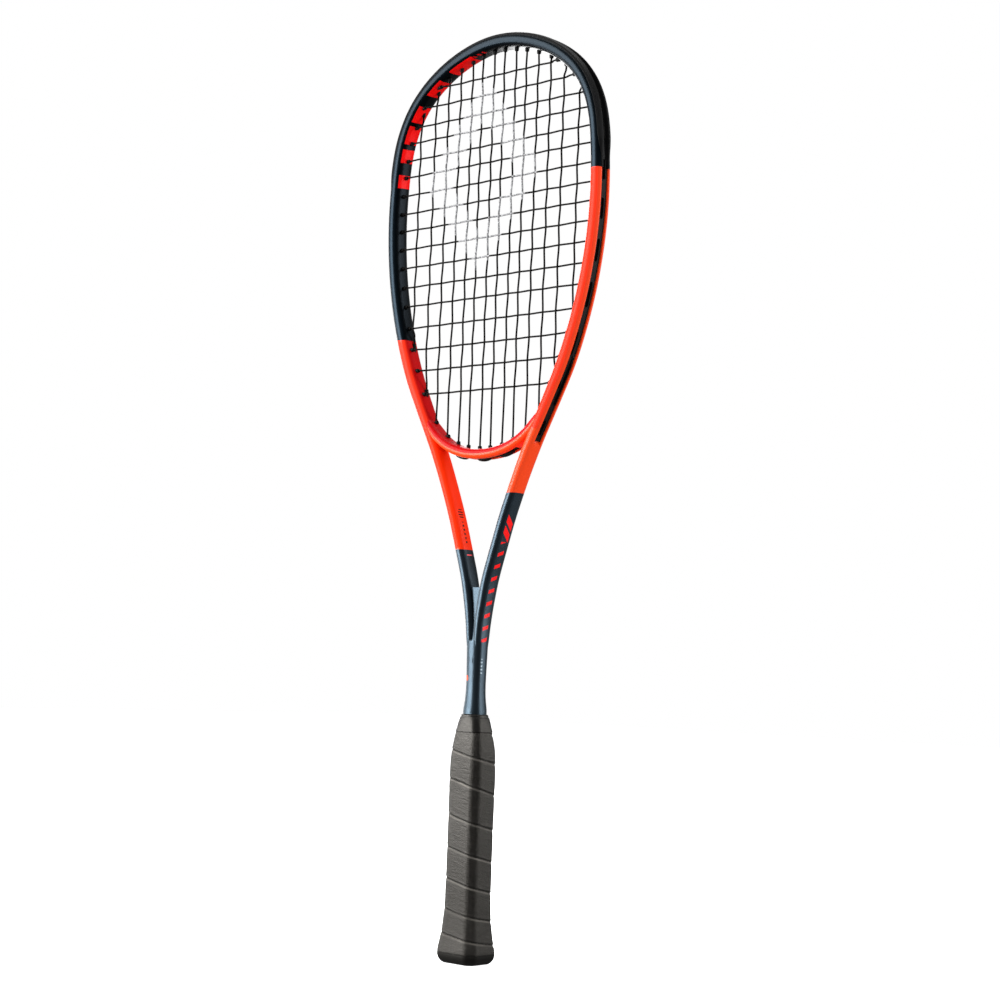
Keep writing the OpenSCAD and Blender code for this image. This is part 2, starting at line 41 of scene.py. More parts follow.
# ------------------------------------------------------------------ curves
RAIL = np.array([
    [3.0, 214, 3.2, 6.3], [3.3, 225, 3.4, 6.7], [3.7, 235, 3.5, 6.9], [4.5, 245, 3.7, 7.1],
    [5.8, 255, 3.9, 7.2], [7.7, 265.5, 4.0, 7.3], [10, 276, 4.0, 7.4], [14.3, 290.5, 4.0, 7.4],
    [19, 305, 4.0, 7.4], [24, 320, 4.0, 7.4], [29.7, 335, 4.0, 7.4], [35.8, 350, 4.0, 7.4],
    [42.4, 365, 4.1, 7.5], [49.6, 380, 4.2, 7.5], [57.4, 395, 4.4, 7.5], [65.6, 411, 4.6, 7.6],
    [74, 428, 4.8, 7.7], [84.2, 454, 4.9, 7.7], [91.3, 477.5, 4.9, 7.7], [96.1, 499, 4.9, 7.7],
    [99.3, 519.5, 4.9, 7.7], [101.2, 540.5, 4.9, 7.7], [101.7, 563, 4.9, 7.7],
    [100.4, 588, 4.9, 7.7], [95.6, 617, 4.9, 7.7], [82.2, 643.0, 4.8, 7.8],
    [59.2, 662.8, 4.9, 7.9], [31.0, 675.2, 4.9, 8.0], [0, 679.9, 4.9, 8.0]])
SPAN = np.array([
    [58.9, 399.9, 1.9, 5.0], [56.2, 396.0, 2.9, 6.4], [49.6, 388, 4.1, 7.4], [39.7, 380, 4.0, 7.4],
    [31.4, 375.5, 4.0, 7.5], [20.5, 371.8, 4.0, 7.5], [10, 369.9, 4.0, 7.5], [0, 369.4, 4.0, 7.5]])
GROOVE_D, GROOVE_W, GROOVE_END = 2.5, 3.6, 377.0
BUMPER_END = 569.2
MAIN_X = [5.2, 16.7, 27.2, 39, 51.4, 64.6, 79.9]
CROSS_Z = [656.3, 642.6, 628.7, 616.8, 603.2, 590.2, 575.7, 561.4, 547.7, 533.2, 518.4, 502.9,
           487.9, 470.6, 453.4, 436.7, 418.1]
SLANT_Z = {3: 381.0, 4: 391.0}
STRING_R = 0.62


def spline(knots, values):
    """Natural cubic through the values at the knots, as a function."""
    t = np.asarray(knots, float)
    y = np.asarray(values, float)
    if y.ndim == 1:
        y = y[:, None]
    n = len(t)
    h = np.diff(t)
    a = np.zeros((n, n))
    r = np.zeros((n, y.shape[1]))
    a[0, 0] = a[-1, -1] = 1
    for i in range(1, n - 1):
        a[i, i - 1], a[i, i], a[i, i + 1] = h[i - 1], 2 * (h[i - 1] + h[i]), h[i]
        r[i] = 6 * ((y[i + 1] - y[i]) / h[i] - (y[i] - y[i - 1]) / h[i - 1])
    m = np.linalg.solve(a, r)

    def f(q):
        q = np.atleast_1d(np.asarray(q, float))
        i = np.clip(np.searchsorted(t, q) - 1, 0, n - 2)
        hh = h[i][:, None]
        u, v = (t[i + 1] - q)[:, None], (q - t[i])[:, None]
        return (m[i] * u ** 3 + m[i + 1] * v ** 3) / (6 * hh) + (y[i] / hh - m[i] * hh / 6) * u + (
            y[i + 1] / hh - m[i + 1] * hh / 6) * v
    return f


class Path:
    """A curve in the XZ plane that runs right, over the middle, left. s = 0 at the middle, right side positive."""

    def __init__(self, half, step=0.5):
        right = np.asarray(half, float)
        left = right[-2::-1].copy()
        left[:, 0] *= -1
        pts = np.vstack([right, left])
        d = np.r_[0, np.cumsum(np.hypot(*np.diff(pts[:, :2], axis=0).T))]
        f = spline(d, pts)
        t = np.linspace(0, d[-1], int(d[-1] / step) + 1)
        p = f(t)
        s = np.r_[0, np.cumsum(np.hypot(*np.diff(p[:, :2], axis=0).T))]
        self.s = s[-1] / 2 - s            # positive on the right
        self.p = p
        tan = np.gradient(p[:, :2], axis=0)
        tan /= np.linalg.norm(tan, axis=1)[:, None]
        self.n = np.c_[tan[:, 1], -tan[:, 0]]   # outward on the head
        self.t = tan

    def at(self, s):
        """position (x, z), outward normal, half sizes at arc length s"""
        q = np.atleast_1d(s)
        k = self.s[::-1]
        x = np.stack([np.interp(q, k, self.p[::-1, j]) for j in range(4)], 1)
        n = np.stack([np.interp(q, k, self.n[::-1, j]) for j in range(2)], 1)
        n /= np.linalg.norm(n, axis=1)[:, None]
        return x, n

    def offset(self, k, d):
        """The curve moved outward by k half sizes and d mm."""
        return self.p[:, :2] + self.n * (k * self.p[:, 2] + d)[:, None]


rail = Path(RAIL)
span = Path(SPAN)
RIGHT = rail.s > 0
S_OF_Z = lambda z: float(np.interp(z, rail.p[RIGHT][:, 1], rail.s[RIGHT]))


def smooth(x, lo, hi):
    t = np.clip((np.asarray(x, float) - lo) / (hi - lo), 0, 1)
    return t * t * (3 - 2 * t)


def top_z(x, k, d):
    c = rail.offset(k, d)
    m = (c[:, 0] >= -1) & (c[:, 1] > 571)
    q = c[m][::-1]
    return float(np.interp(abs(x), q[:, 0], q[:, 1]))


def side_x(z, k, d):
    c = rail.offset(k, d)[RIGHT]
    m = c[:, 1] > 300
    c = c[m]
    i = np.argsort(c[:, 1])
    return float(np.interp(z, c[i, 1], c[i, 0]))


def low_z(x, k, d):
    if abs(x) > 58:
        c = rail.offset(k, d)[RIGHT]
        m = (c[:, 1] > 300) & (c[:, 1] < 540)
        q = c[m]
    else:
        q = span.offset(-k, -d)
        q = q[q[:, 0] >= -1]
    i = np.argsort(q[:, 0])
    return float(np.interp(abs(x), q[i, 0], q[i, 1]))


# ------------------------------------------------------------------ mesh helpers
ALL = []


def obj_from(name, verts, faces, uvs=None, smooth_angle=40, mats=None, face_mats=None):
    me = bpy.data.meshes.new(name)
    me.from_pydata([tuple(v) for v in np.asarray(verts) * MM], [], [tuple(f) for f in faces])
    me.validate()
    if uvs is not None:
        layer = me.uv_layers.new(name="Along")
        flat = np.zeros((len(me.loops), 2), np.float32)
        for poly, uv in zip(me.polygons, uvs):
            for li, c in zip(poly.loop_indices, uv):
                flat[li] = c
        layer.data.foreach_set("uv", flat.ravel())
    me.polygons.foreach_set("use_smooth", [True] * len(me.polygons))
    me.update()
    me.set_sharp_from_angle(angle=math.radians(smooth_angle))
    ob = bpy.data.objects.new(name, me)
    bpy.context.scene.collection.objects.link(ob)
    for m in mats or []:
        me.materials.append(m)
    if face_mats is not None:
        me.polygons.foreach_set("material_index", face_mats)
    ALL.append(ob)
    return ob


class Shell:
    """Gathers closed lofts into one mesh."""

    def __init__(self):
        self.v, self.f, self.uv, self.m = [], [], [], []
        self.n = 0

    def loft(self, rings, uv=None, caps=True, closed=False, mat=0):
        """rings: k x m x 3. uv: k x (m+1) x 2 or None. Ends are closed by fans."""
        rings = np.asarray(rings, float)
        k, m = rings.shape[:2]
        base = self.n
        self.v.append(rings.reshape(-1, 3))
        self.n += k * m
        last = k if closed else k - 1
        for i in range(last):
            i2 = (i + 1) % k
            for j in range(m):
                j2 = (j + 1) % m
                self.f.append((base + i * m + j, base + i * m + j2, base + i2 * m + j2, base + i2 * m + j))
                if uv is not None:
                    self.uv.append((uv[i][j], uv[i][j + 1], uv[i2][j + 1], uv[i2][j]))
                else:
                    self.uv.append(((0, 0),) * 4)
                self.m.append(mat)
        if caps and not closed:
            for i, flip in ((0, True), (k - 1, False)):
                c = rings[i].mean(0)
                self.v.append(c[None])
                ci = self.n
                self.n += 1
                for j in range(m):
                    j2 = (j + 1) % m
                    a, b = base + i * m + j, base + i * m + j2
                    self.f.append((b, a, ci) if flip else (a, b, ci))
                    if uv is not None:
                        u0 = uv[i][j]
                        self.uv.append((u0, u0, u0))
                    else:
                        self.uv.append(((0, 0),) * 3)
                    self.m.append(mat)
        return self

    def make(self, name, mats, angle=40):
        v = np.vstack(self.v)
        ob = obj_from(name, v, self.f, self.uv, angle, mats, self.m)
        # faces point outward
        import bmesh
        bm = bmesh.new()
        bm.from_mesh(ob.data)
        bmesh.ops.recalc_face_normals(bm, faces=bm.faces)
        bm.to_mesh(ob.data)
        bm.free()
        ob.data.set_sharp_from_angle(angle=math.radians(angle))
        return ob


def se_u(a, b, v, n):
    return a * np.power(np.clip(1 - np.power(np.abs(v) / b, n), 0, 1), 1 / n)


def superellipse(a, b, n, count, start=0.0):
    """points evenly spaced along a superellipse"""
    t = np.linspace(0, 2 * np.pi, 721)
    x = a * np.sign(np.cos(t)) * np.abs(np.cos(t)) ** (2 / n)
    y = b * np.sign(np.sin(t)) * np.abs(np.sin(t)) ** (2 / n)
    s = np.r_[0, np.cumsum(np.hypot(np.diff(x), np.diff(y)))]
    q = (np.linspace(0, 1, count, endpoint=False) + start) % 1 * s[-1]
    return np.c_[np.interp(q, s, x), np.interp(q, s, y)]


def frames(pts):
    """side and up vectors for a cord that stays near the XZ plane"""
    t = np.gradient(pts, axis=0)
    t /= np.linalg.norm(t, axis=1)[:, None]
    s = np.cross([0, 1, 0], t)
    s /= np.linalg.norm(s, axis=1)[:, None]
    return s, np.cross(t, s)


def cord_rings(pts, r, k=10):
    s, q = frames(pts)
    a = np.arange(k) * 2 * np.pi / k
    r = np.broadcast_to(np.asarray(r, float), (len(pts),))[:, None, None]
    return pts[:, None] + r * (np.cos(a)[None, :, None] * s[:, None] + np.sin(a)[None, :, None] * q[:, None])


def lathe(a, b, profile, k=18):
    """rings about the axis from a towards b; profile is [(distance, radius)]"""
    a, b = np.asarray(a, float), np.asarray(b, float)
    d = (b - a) / np.linalg.norm(b - a)
    u = np.cross(d, [0, 1, 0])
    u /= np.linalg.norm(u)
    w = np.cross(d, u)
    t = np.arange(k) * 2 * np.pi / k
    circ = np.cos(t)[:, None] * u + np.sin(t)[:, None] * w
    return np.array([a + d * h + circ * r for h, r in profile])


# ------------------------------------------------------------------ material helpers
class Nodes:
    def __init__(self, name):
        self.mat = bpy.data.materials.new(name)
        self.mat.use_nodes = True
        self.nt = self.mat.node_tree
        self.nt.nodes.clear()
        self.out = self.nt.nodes.new("ShaderNodeOutputMaterial")
        self.bsdf = self.nt.nodes.new("ShaderNodeBsdfPrincipled")
        self.nt.links.new(self.bsdf.outputs[0], self.out.inputs[0])
        tc = self.nt.nodes.new("ShaderNodeTexCoord")
        self.obj = tc.outputs["Object"]
        self.uv = tc.outputs["UV"]
        sep = self.nt.nodes.new("ShaderNodeSeparateXYZ")
        self.nt.links.new(self.obj, sep.inputs[0])
        # object coordinates in mm
        self.x, self.y, self.z = [self.math("MULTIPLY", o, 1000.0) for o in sep.outputs]

    def sep_uv(self):
        sep = self.nt.nodes.new("ShaderNodeSeparateXYZ")
        self.nt.links.new(self.uv, sep.inputs[0])
        return sep.outputs[0], sep.outputs[1]

    def put(self, socket, value):
        if hasattr(value, "node"):
            self.nt.links.new(value, socket)
        else:
            socket.default_value = value

    def math(self, op, a, b=0.0, c=0.0):
        n = self.nt.nodes.new("ShaderNodeMath")
        n.operation = op
        for s, v in zip(n.inputs, (a, b, c)):
            self.put(s, v)
        return n.outputs[0]

    def gt(self, a, b):
        return self.math("GREATER_THAN", a, b)

    def lt(self, a, b):
        return self.math("LESS_THAN", a, b)

    def mul(self, *v):
        r = v[0]
        for q in v[1:]:
            r = self.math("MULTIPLY", r, q)
        return r

    def maxi(self, *v):
        r = v[0]
        for q in v[1:]:
            r = self.math("MAXIMUM", r, q)
        return r

    def within(self, a, lo, hi):
        return self.mul(self.gt(a, lo), self.lt(a, hi))

    def mix(self, f, a, b):
        n = self.nt.nodes.new("ShaderNodeMix")
        n.data_type = "RGBA"
        self.put(n.inputs[0], f)
        for s, v in ((n.inputs[6], a), (n.inputs[7], b)):
            if isinstance(v, tuple) and len(v) == 3:
                v = (*v, 1.0)
            self.put(s, v)
        return n.outputs[2]

    def noise(self, scale, detail=3.0, rough=0.5, vec=None, distort=0.0):
        n = self.nt.nodes.new("ShaderNodeTexNoise")
        self.nt.links.new(vec or self.obj, n.inputs["Vector"])
        n.inputs["Scale"].default_value = scale
        n.inputs["Detail"].default_value = detail
        n.inputs["Roughness"].default_value = rough
        n.inputs["Distortion"].default_value = distort
        return n.outputs[0]

    def voronoi(self, scale, feature="F1", vec=None):
        n = self.nt.nodes.new("ShaderNodeTexVoronoi")
        n.feature = feature
        self.nt.links.new(vec or self.obj, n.inputs["Vector"])
        n.inputs["Scale"].default_value = scale
        return n.outputs[0]

    def ramp(self, f, stops, constant=False):
        n = self.nt.nodes.new("ShaderNodeValToRGB")
        self.put(n.inputs[0], f)
        r = n.color_ramp
        r.interpolation = "CONSTANT" if constant else "LINEAR"
        while len(r.elements) > 1:
            r.elements.remove(r.elements[-1])
        for i, (p, c) in enumerate(stops):
            e = r.elements[0] if i == 0 else r.elements.new(p)
            e.position = p
            e.color = (c, c, c, 1.0) if not isinstance(c, tuple) else (*c, 1.0)
        return n.outputs[0]

    def stretch(self, sx, sy, sz):
        n = self.nt.nodes.new("ShaderNodeMapping")
        self.nt.links.new(self.obj, n.inputs[0])
        n.inputs["Scale"].default_value = (sx, sy, sz)
        return n.outputs[0]

    def bump(self, height, strength, distance, under=None):
        n = self.nt.nodes.new("ShaderNodeBump")
        self.put(n.inputs["Height"], height)
        n.inputs["Strength"].default_value = strength
        n.inputs["Distance"].default_value = distance
        if under is not None:
            self.nt.links.new(under, n.inputs["Normal"])
        return n.outputs[0]

    def done(self, color, rough, normal=None, **fixed):
        self.put(self.bsdf.inputs["Base Color"], (*color, 1.0) if isinstance(color, tuple) else color)
        self.put(self.bsdf.inputs["Roughness"], rough)
        if normal is not None:
            self.nt.links.new(normal, self.bsdf.inputs["Normal"])
        for k, v in fixed.items():
            self.bsdf.inputs[k.replace("_", " ")].default_value = v
        return self.mat


NAVY = (0.0060, 0.0112, 0.0165)
NAVY2 = (0.0074, 0.0136, 0.0196)
# a brighter copy of the navy paint for the legs and shaft: painted light
LIT_LOWER_NAVY = (0.034, 0.050, 0.064)
FLAME = (0.86, 0.050, 0.0040)
FLAME2 = (0.92, 0.060, 0.0055)
# dark red for the inner walls: painted shade
INNER_SHADE_RED = (0.40, 0.0012, 0.0022)
BEVEL = (0.90, 0.030, 0.0085)
RED = (0.92, 0.0032, 0.0030)


def paint(name, bridge=False, spec=0.26):
    n = Nodes(name)
    big = n.noise(14, 2, 0.5)
    fine = n.noise(2600, 2, 0.6)
    grain = n.noise(420, 3, 0.6)
    # painted shade: the navy body gets darker towards the tip, from z 540 mm to 660 mm
    tip_shade = n.ramp(n.math("DIVIDE", n.math("SUBTRACT", n.z, 540.0), 120.0), [(0.0, 0.0), (1.0, 1.0)])
    body = n.mix(tip_shade, n.mix(big, tuple(c * 1.25 for c in NAVY), tuple(c * 1.25 for c in NAVY2)), tuple(c * 0.62 for c in NAVY2))
    # painted light: below z 345 mm the same navy paint takes the brighter base
    navy = n.mix(n.gt(n.z, 345.0), LIT_LOWER_NAVY, body)
    flake = n.ramp(n.voronoi(5200), [(0.0, 1.0), (0.10, 0.0), (1.0, 0.0)])
    navy = n.mix(n.mul(flake, 0.05), navy, (0.05, 0.08, 0.11))
    # the low-specular inner paint also takes a deeper red orange: painted shade
    dull_and_shaded = spec < 0.2
    flame = n.mix(big, (0.88, 0.026, 0.0012) if dull_and_shaded else FLAME, (0.92, 0.030, 0.0016) if dull_and_shaded else FLAME2)
    us, uw = n.sep_uv()
    depth = n.math("MULTIPLY", uw, 1000.0)
    across = n.math("ADD", n.math("DIVIDE", depth, 30.0), 0.5)
    head = 1.0 if bridge else n.gt(n.z, 385.0)
    # painted shade: the inner wall of the orange head and of the bridge is mixed to a dark red
    inside = n.mul(n.ramp(across, [(0.0, 1.0), (0.31, 1.0), (0.385, 0.0), (1.0, 0.0)]), head)
    outside = n.ramp(across, [(0.0, 0.0), (0.57, 0.0), (0.69, 1.0), (1.0, 1.0)])
    hood = n.math("MAXIMUM", outside, 0.0 if bridge else n.math("SUBTRACT", 1.0, head))
    flame = n.mix(inside, n.mix(hood, BEVEL, flame), n.mix(big, INNER_SHADE_RED, (0.52, 0.0018, 0.0030)))
    # painted shade: the navy inner wall is mixed towards a dark grey
    navy = n.mix(n.mul(n.ramp(across, [(0.0, 1.0), (0.31, 1.0), (0.385, 0.0), (1.0, 0.0)]), 0.7), navy, (0.0052, 0.0056, 0.0060))
    if bridge:
        color = flame
        zone = None
    else:
        right = n.gt(n.x, 0.0)
        left = n.math("SUBTRACT", 1.0, right)
        zone = n.maxi(n.mul(right, n.within(n.z, 339.5, 569.4)), n.mul(left, n.within(n.z, 299.0, 460.8)))
        color = n.mix(zone, navy, flame)
        s, w = n.mul(us, 1000.0), uw
        inner = n.lt(w, 0.0)
        outer = n.gt(w, 0.0)
        # red chevrons on the inside of the upper left limb
        run = n.math("ADD", n.mul(s, -1.0), n.mul(n.y, 0.10))
        t = n.math("DIVIDE", n.math("SUBTRACT", run, 20.0), 140.0)
        bars = [(0.0, 0.0)]
        for a, b in ((24.5, 49.5), (60.0, 77.0), (88.0, 103.0), (106.0, 121.5), (126.0, 137.0), (146.5, 157.0)):
            bars += [((a - 20) / 140, 1.0), ((b - 20) / 140, 0.0)]
        red = n.mul(n.ramp(t, bars, True), inner, n.lt(n.math("ABSOLUTE", n.y), 6.2), n.gt(t, 0.0), n.lt(t, 1.0))
        # short slashes under the tip
        q = n.math("ADD", n.mul(s, -1.0), n.mul(n.y, 0.6))
        tick = n.lt(n.math("FRACT", n.math("DIVIDE", q, 5.0)), 0.42)
        ticks = n.mul(tick, n.within(q, 10.0, 40.0), inner, n.within(n.y, -5.4, -2.6))
        # marks down the outside of the right leg
        u = n.math("DIVIDE", n.math("ADD", n.math("SUBTRACT", 306.0, n.z), n.mul(n.y, 0.35)), 9.0)
        fr = n.math("FRACT", u)
        leg = n.mul(n.within(n.z, 231.0, 304.0), n.gt(n.x, 0.0), outer)
        bar = n.mul(n.lt(fr, 0.30), n.within(n.y, -3.2, 2.2))
        mark = n.mul(leg, bar)
        slope = n.math("ADD", n.z, n.mul(n.y, 0.9))
        big_box = n.mul(n.within(slope, 307.0, 320.5), n.within(n.y, -3.6, 3.4))
        hole = n.within(slope, 312.6, 314.9)
        head = n.mul(big_box, n.math("SUBTRACT", 1.0, hole), n.gt(n.x, 0.0), outer)
        redmask = n.maxi(red, n.mul(ticks, 0.7), mark, head)
        color = n.mix(redmask, color, RED)
        # dark ring and dashes inside the left leg
        dz = n.math("SUBTRACT", n.z, 326.0)
        dist = n.math("SQRT", n.math("ADD", n.mul(dz, dz, 0.45), n.mul(n.y, n.y)))
        stamp = n.mul(n.lt(dist, 2.7), n.lt(n.math("FRACT", n.math("DIVIDE", n.z, 1.9)), 0.45), inner, n.lt(n.x, 0.0))
        dash = n.mul(n.lt(n.math("FRACT", n.math("DIVIDE", n.z, 3.1)), 0.50), n.within(n.z, 304.0, 320.0), inner,
                     n.lt(n.x, 0.0), n.within(n.y, -0.9, 0.7))
        color = n.mix(n.maxi(stamp, dash), color, (0.030, 0.006, 0.004))
        line = n.mul(n.within(n.z, 294.6, 295.5), inner, n.lt(n.x, 0.0), n.within(n.y, -2.5, 3.0))
        color = n.mix(line, color, (0.55, 0.06, 0.07))
        chip = n.mul(n.within(n.z, 203.0, 206.6), n.within(n.x, -5.2, -2.2), n.lt(n.y, 0.0))
        color = n.mix(chip, color, (0.80, 0.09, 0.03))
        dots = n.mul(n.lt(n.math("FRACT", n.math("DIVIDE", n.z, 2.6)), 0.42), n.within(n.z, 207.0, 219.0), n.gt(n.x, 3.0), n.within(n.y, -2.6, -1.0))
        color = n.mix(n.mul(dots, 0.55), color, (0.30, 0.36, 0.40))
    scuff = n.ramp(n.noise(60, 6, 0.7, vec=n.stretch(1, 1, 0.25)), [(0.0, 0.0), (0.62, 0.0), (0.80, 1.0)])
    rough = n.math("ADD", 0.31, n.math("ADD", n.mul(grain, 0.05), n.mul(scuff, 0.10)))
    bump = n.bump(fine, 0.05, 0.00003, n.bump(n.noise(160, 2, 0.5), 0.05, 0.0002))
    metal = 0.0 if bridge else n.mul(0.78, n.math("SUBTRACT", 1.0, n.maxi(zone, redmask)))
    n.put(n.bsdf.inputs["Metallic"], metal)
    return n.done(color, rough, bump, IOR=1.45, Specular_IOR_Level=spec)


def black_plastic(name, base, var, rough, grain=900, depth=0.00006, coat=0.0):
    n = Nodes(name)
    big = n.noise(30, 3, 0.5)
    color = n.mix(big, base, var)
    scuff = n.ramp(n.noise(85, 6, 0.75), [(0.0, 0.0), (0.60, 0.0), (0.78, 1.0)])
    color = n.mix(n.mul(scuff, 0.30), color, tuple(min(1.0, c * 2.6 + 0.01) for c in base))
    r = n.math("ADD", rough, n.math("ADD", n.mul(n.noise(300, 3, 0.6), 0.10), n.mul(scuff, 0.08)))
    return n.done(color, r, n.bump(n.noise(grain, 3, 0.6), 0.35, depth), IOR=1.46, Specular_IOR_Level=0.12)


def string_mat(name):
    n = Nodes(name)
    black = n.mix(n.noise(220, 3, 0.6), (0.0022, 0.0020, 0.0019), (0.0050, 0.0042, 0.0036))
    # open lozenge stencilled across the bed, broken where the paint has worn
    dx = n.math("ABSOLUTE", n.math("SUBTRACT", n.x, -13.0))
    dz = n.math("ABSOLUTE", n.math("SUBTRACT", n.z, 581.0))
    d = n.math("ADD", n.math("DIVIDE", dx, 59.0), n.math("DIVIDE", dz, 76.0))
    wear = n.ramp(n.noise(700, 4, 0.7), [(0.0, 1.0), (0.42, 1.0), (0.56, 0.35), (0.70, 0.0), (1.0, 0.0)])
    face = n.lt(n.y, 0.35)
    mask = n.mul(n.within(d, 0.58, 1.0), wear, face)
    color = n.mix(mask, black, (0.42, 0.42, 0.43))
    fibre = n.noise(1500, 2, 0.6, vec=n.stretch(1, 1, 1))
    rough = n.math("ADD", 0.46, n.mul(mask, 0.20))
    return n.done(color, rough, n.bump(fibre, 0.25, 0.00008), IOR=1.45, Specular_IOR_Level=0.07)


def grip_mat(name, base=(0.0074, 0.0062, 0.0050), var=(0.0050, 0.0042, 0.0034), rough=0.42, spec=0.64, seams=False):
    n = Nodes(name)
    color = n.mix(n.noise(24, 4, 0.6), base, var)
    e, d = n.sep_uv()
    glint_breakup = n.ramp(n.noise(38, 4, 0.65), [(0.0, 0.15), (0.40, 0.25), (0.62, 1.0), (1.0, 1.0)])
    if seams:
        # painted highlight: a light line just under each seam, on the upper edge of the turn below, broken up by noise
        seam_highlight = n.mul(n.ramp(e, [(0.0, 0.0), (0.045, 0.0), (0.085, 1.0), (0.150, 0.8), (0.21, 0.0), (1.0, 0.0)]), glint_breakup)
        color = n.mix(n.mul(seam_highlight, 0.85), color, (0.120, 0.110, 0.096))
        # painted shade: a dark line just over each seam, along the lower edge of the turn where it overhangs
        dark = n.ramp(d, [(0.0, 1.0), (0.035, 1.0), (0.10, 0.0), (1.0, 0.0)])
        color = n.mix(n.mul(dark, 0.8), color, (0.0025, 0.0022, 0.0020))
    palm = n.ramp(n.noise(11, 3, 0.6), [(0.0, 0.0), (0.48, 0.0), (0.70, 1.0)])
    color = n.mix(n.mul(palm, 0.35), color, (0.0060, 0.0052, 0.0044))
    pores = n.ramp(n.voronoi(1500), [(0.0, 0.0), (0.32, 1.0), (1.0, 1.0)])
    crease = n.noise(520, 4, 0.7)
    streak = n.noise(150, 5, 0.7, vec=n.stretch(0.6, 0.6, 3.2), distort=0.6)
    low = n.bump(n.noise(60, 4, 0.6), 0.34, 0.0006)
    if seams:
        comb = n.nt.nodes.new("ShaderNodeCombineXYZ")
        n.put(comb.inputs[0], n.mul(n.x, 0.035))
        n.put(comb.inputs[1], n.mul(n.y, 0.035))
        n.put(comb.inputs[2], n.math("ADD", n.mul(d, 1.0), n.mul(n.z, 0.02)))
        along = n.noise(5.5, 5, 0.75, vec=comb.outputs[0], distort=0.25)
        low = n.bump(along, 0.60, 0.0009, low)
        line = n.ramp(along, [(0.0, 0.0), (0.56, 0.0), (0.66, 1.0), (1.0, 1.0)])
        color = n.mix(n.mul(line, 0.30), color, (0.030, 0.027, 0.023))
    mid = n.bump(streak, 0.40, 0.00030, n.bump(crease, 0.40, 0.00020, low))
    hi = n.bump(pores, 0.30, 0.00010, mid)
    heel = n.ramp(n.math("DIVIDE", n.z, 130.0), [(0.0, 1.0), (0.25, 1.0), (0.75, 0.0), (1.0, 0.0)])
    r = n.math("SUBTRACT", n.math("ADD", rough, n.math("ADD", n.mul(crease, 0.14), n.mul(heel, 0.13))), n.mul(palm, 0.10))
    return n.done(color, r, hi, IOR=1.5, Specular_IOR_Level=spec, Specular_Tint=(1.0, 0.95, 0.87, 1.0))


def plain(name, base, rough, metal=0.0):
    n = Nodes(name)
    color = n.mix(n.noise(120, 3, 0.5), base, tuple(c * 0.8 for c in base))
    return n.done(color, n.math("ADD", rough, n.mul(n.noise(400, 3, 0.6), 0.12)), n.bump(n.noise(900, 3, 0.6), 0.3, 0.00008),
                  Metallic=metal)


M_FRAME = paint("frame_paint")
M_FRAME_IN = paint("frame_paint_inner", False, 0.08)
M_BRIDGE = paint("bridge_paint", True)
M_BRIDGE_IN = paint("bridge_paint_inner", True, 0.08)
M_GUARD = black_plastic("guard_nylon", (0.0050, 0.0052, 0.0056), (0.0085, 0.0085, 0.0088), 0.46)
M_STRIP = black_plastic("strip_nylon", (0.0048, 0.0046, 0.0046), (0.0080, 0.0076, 0.0072), 0.50)
M_STRING = string_mat("string_black")
M_GRIP = grip_mat("grip_band", seams=True)
M_COLLAR = grip_mat("collar_rubber", (0.0080, 0.0075, 0.0070), (0.0055, 0.0052, 0.0050), 0.38, 0.44)
M_CAP = grip_mat("cap_skin", (0.0060, 0.0055, 0.0050), (0.0045, 0.0042, 0.0040), 0.55, 0.22)
M_FOAM = plain("pallet_foam", (0.30, 0.26, 0.20), 0.8)
M_WIRE = plain("wire_steel", (0.60, 0.61, 0.63), 0.28, 1.0)
M_TAPE = plain("tape_black", (0.02, 0.02, 0.02), 0.45)


# ------------------------------------------------------------------ frame
def tube_section(a, b, n, gate):
    """Ring for the frame tube: starts at the middle of the back face, runs over the outside, the front and the inside.
    Returns points (u, v) with v towards the back."""
    gw = GROOVE_W
    edge = [(0.62, 0.0), (0.30, 0.05), (0.08, 0.24), (-0.02, 0.62)]
    outer_v = np.array([gw + d for d, _ in edge] + [gw - 0.10, gw * 0.5, 0.0, -gw * 0.5, 0.10 - gw] + [-gw - d for d, _ in edge[::-1]])
    u = se_u(a, b, outer_v, n)
    for i, (_, dip) in enumerate(edge):
        u[i] -= dip * gate
        u[-1 - i] -= dip * gate
    u[4:9] += (a - GROOVE_D - u[4:9]) * gate
    arc = superellipse(a, b, n, 720)          # counter-clockwise from the outer middle
    run = np.r_[0, np.cumsum(np.hypot(*np.diff(np.vstack([arc, arc[:1]]), axis=0).T))]
    total = run[-1]
    ang_v = lambda v: np.interp(v, arc[:181, 1], run[:181])     # run position on the outer back quarter
    s_gw = ang_v(gw + 0.62)
    back_mid = total * 0.25
    k1 = 9
    q1 = np.linspace(back_mid, s_gw, k1, endpoint=False)        # back middle towards the groove
    q2 = np.linspace(-s_gw, -back_mid, k1)[1:]                  # groove towards the front middle
    q3 = np.linspace(-back_mid, -3 * back_mid, 27)[1:-1]        # front, inside, back
    pt = lambda q: np.c_[np.interp(q % total, run[:-1], arc[:, 0], period=total), np.interp(q % total, run[:-1], arc[:, 1], period=total)]
    ring = np.vstack([pt(q1), np.c_[u, outer_v], pt(q2), pt(q3)])
    return ring


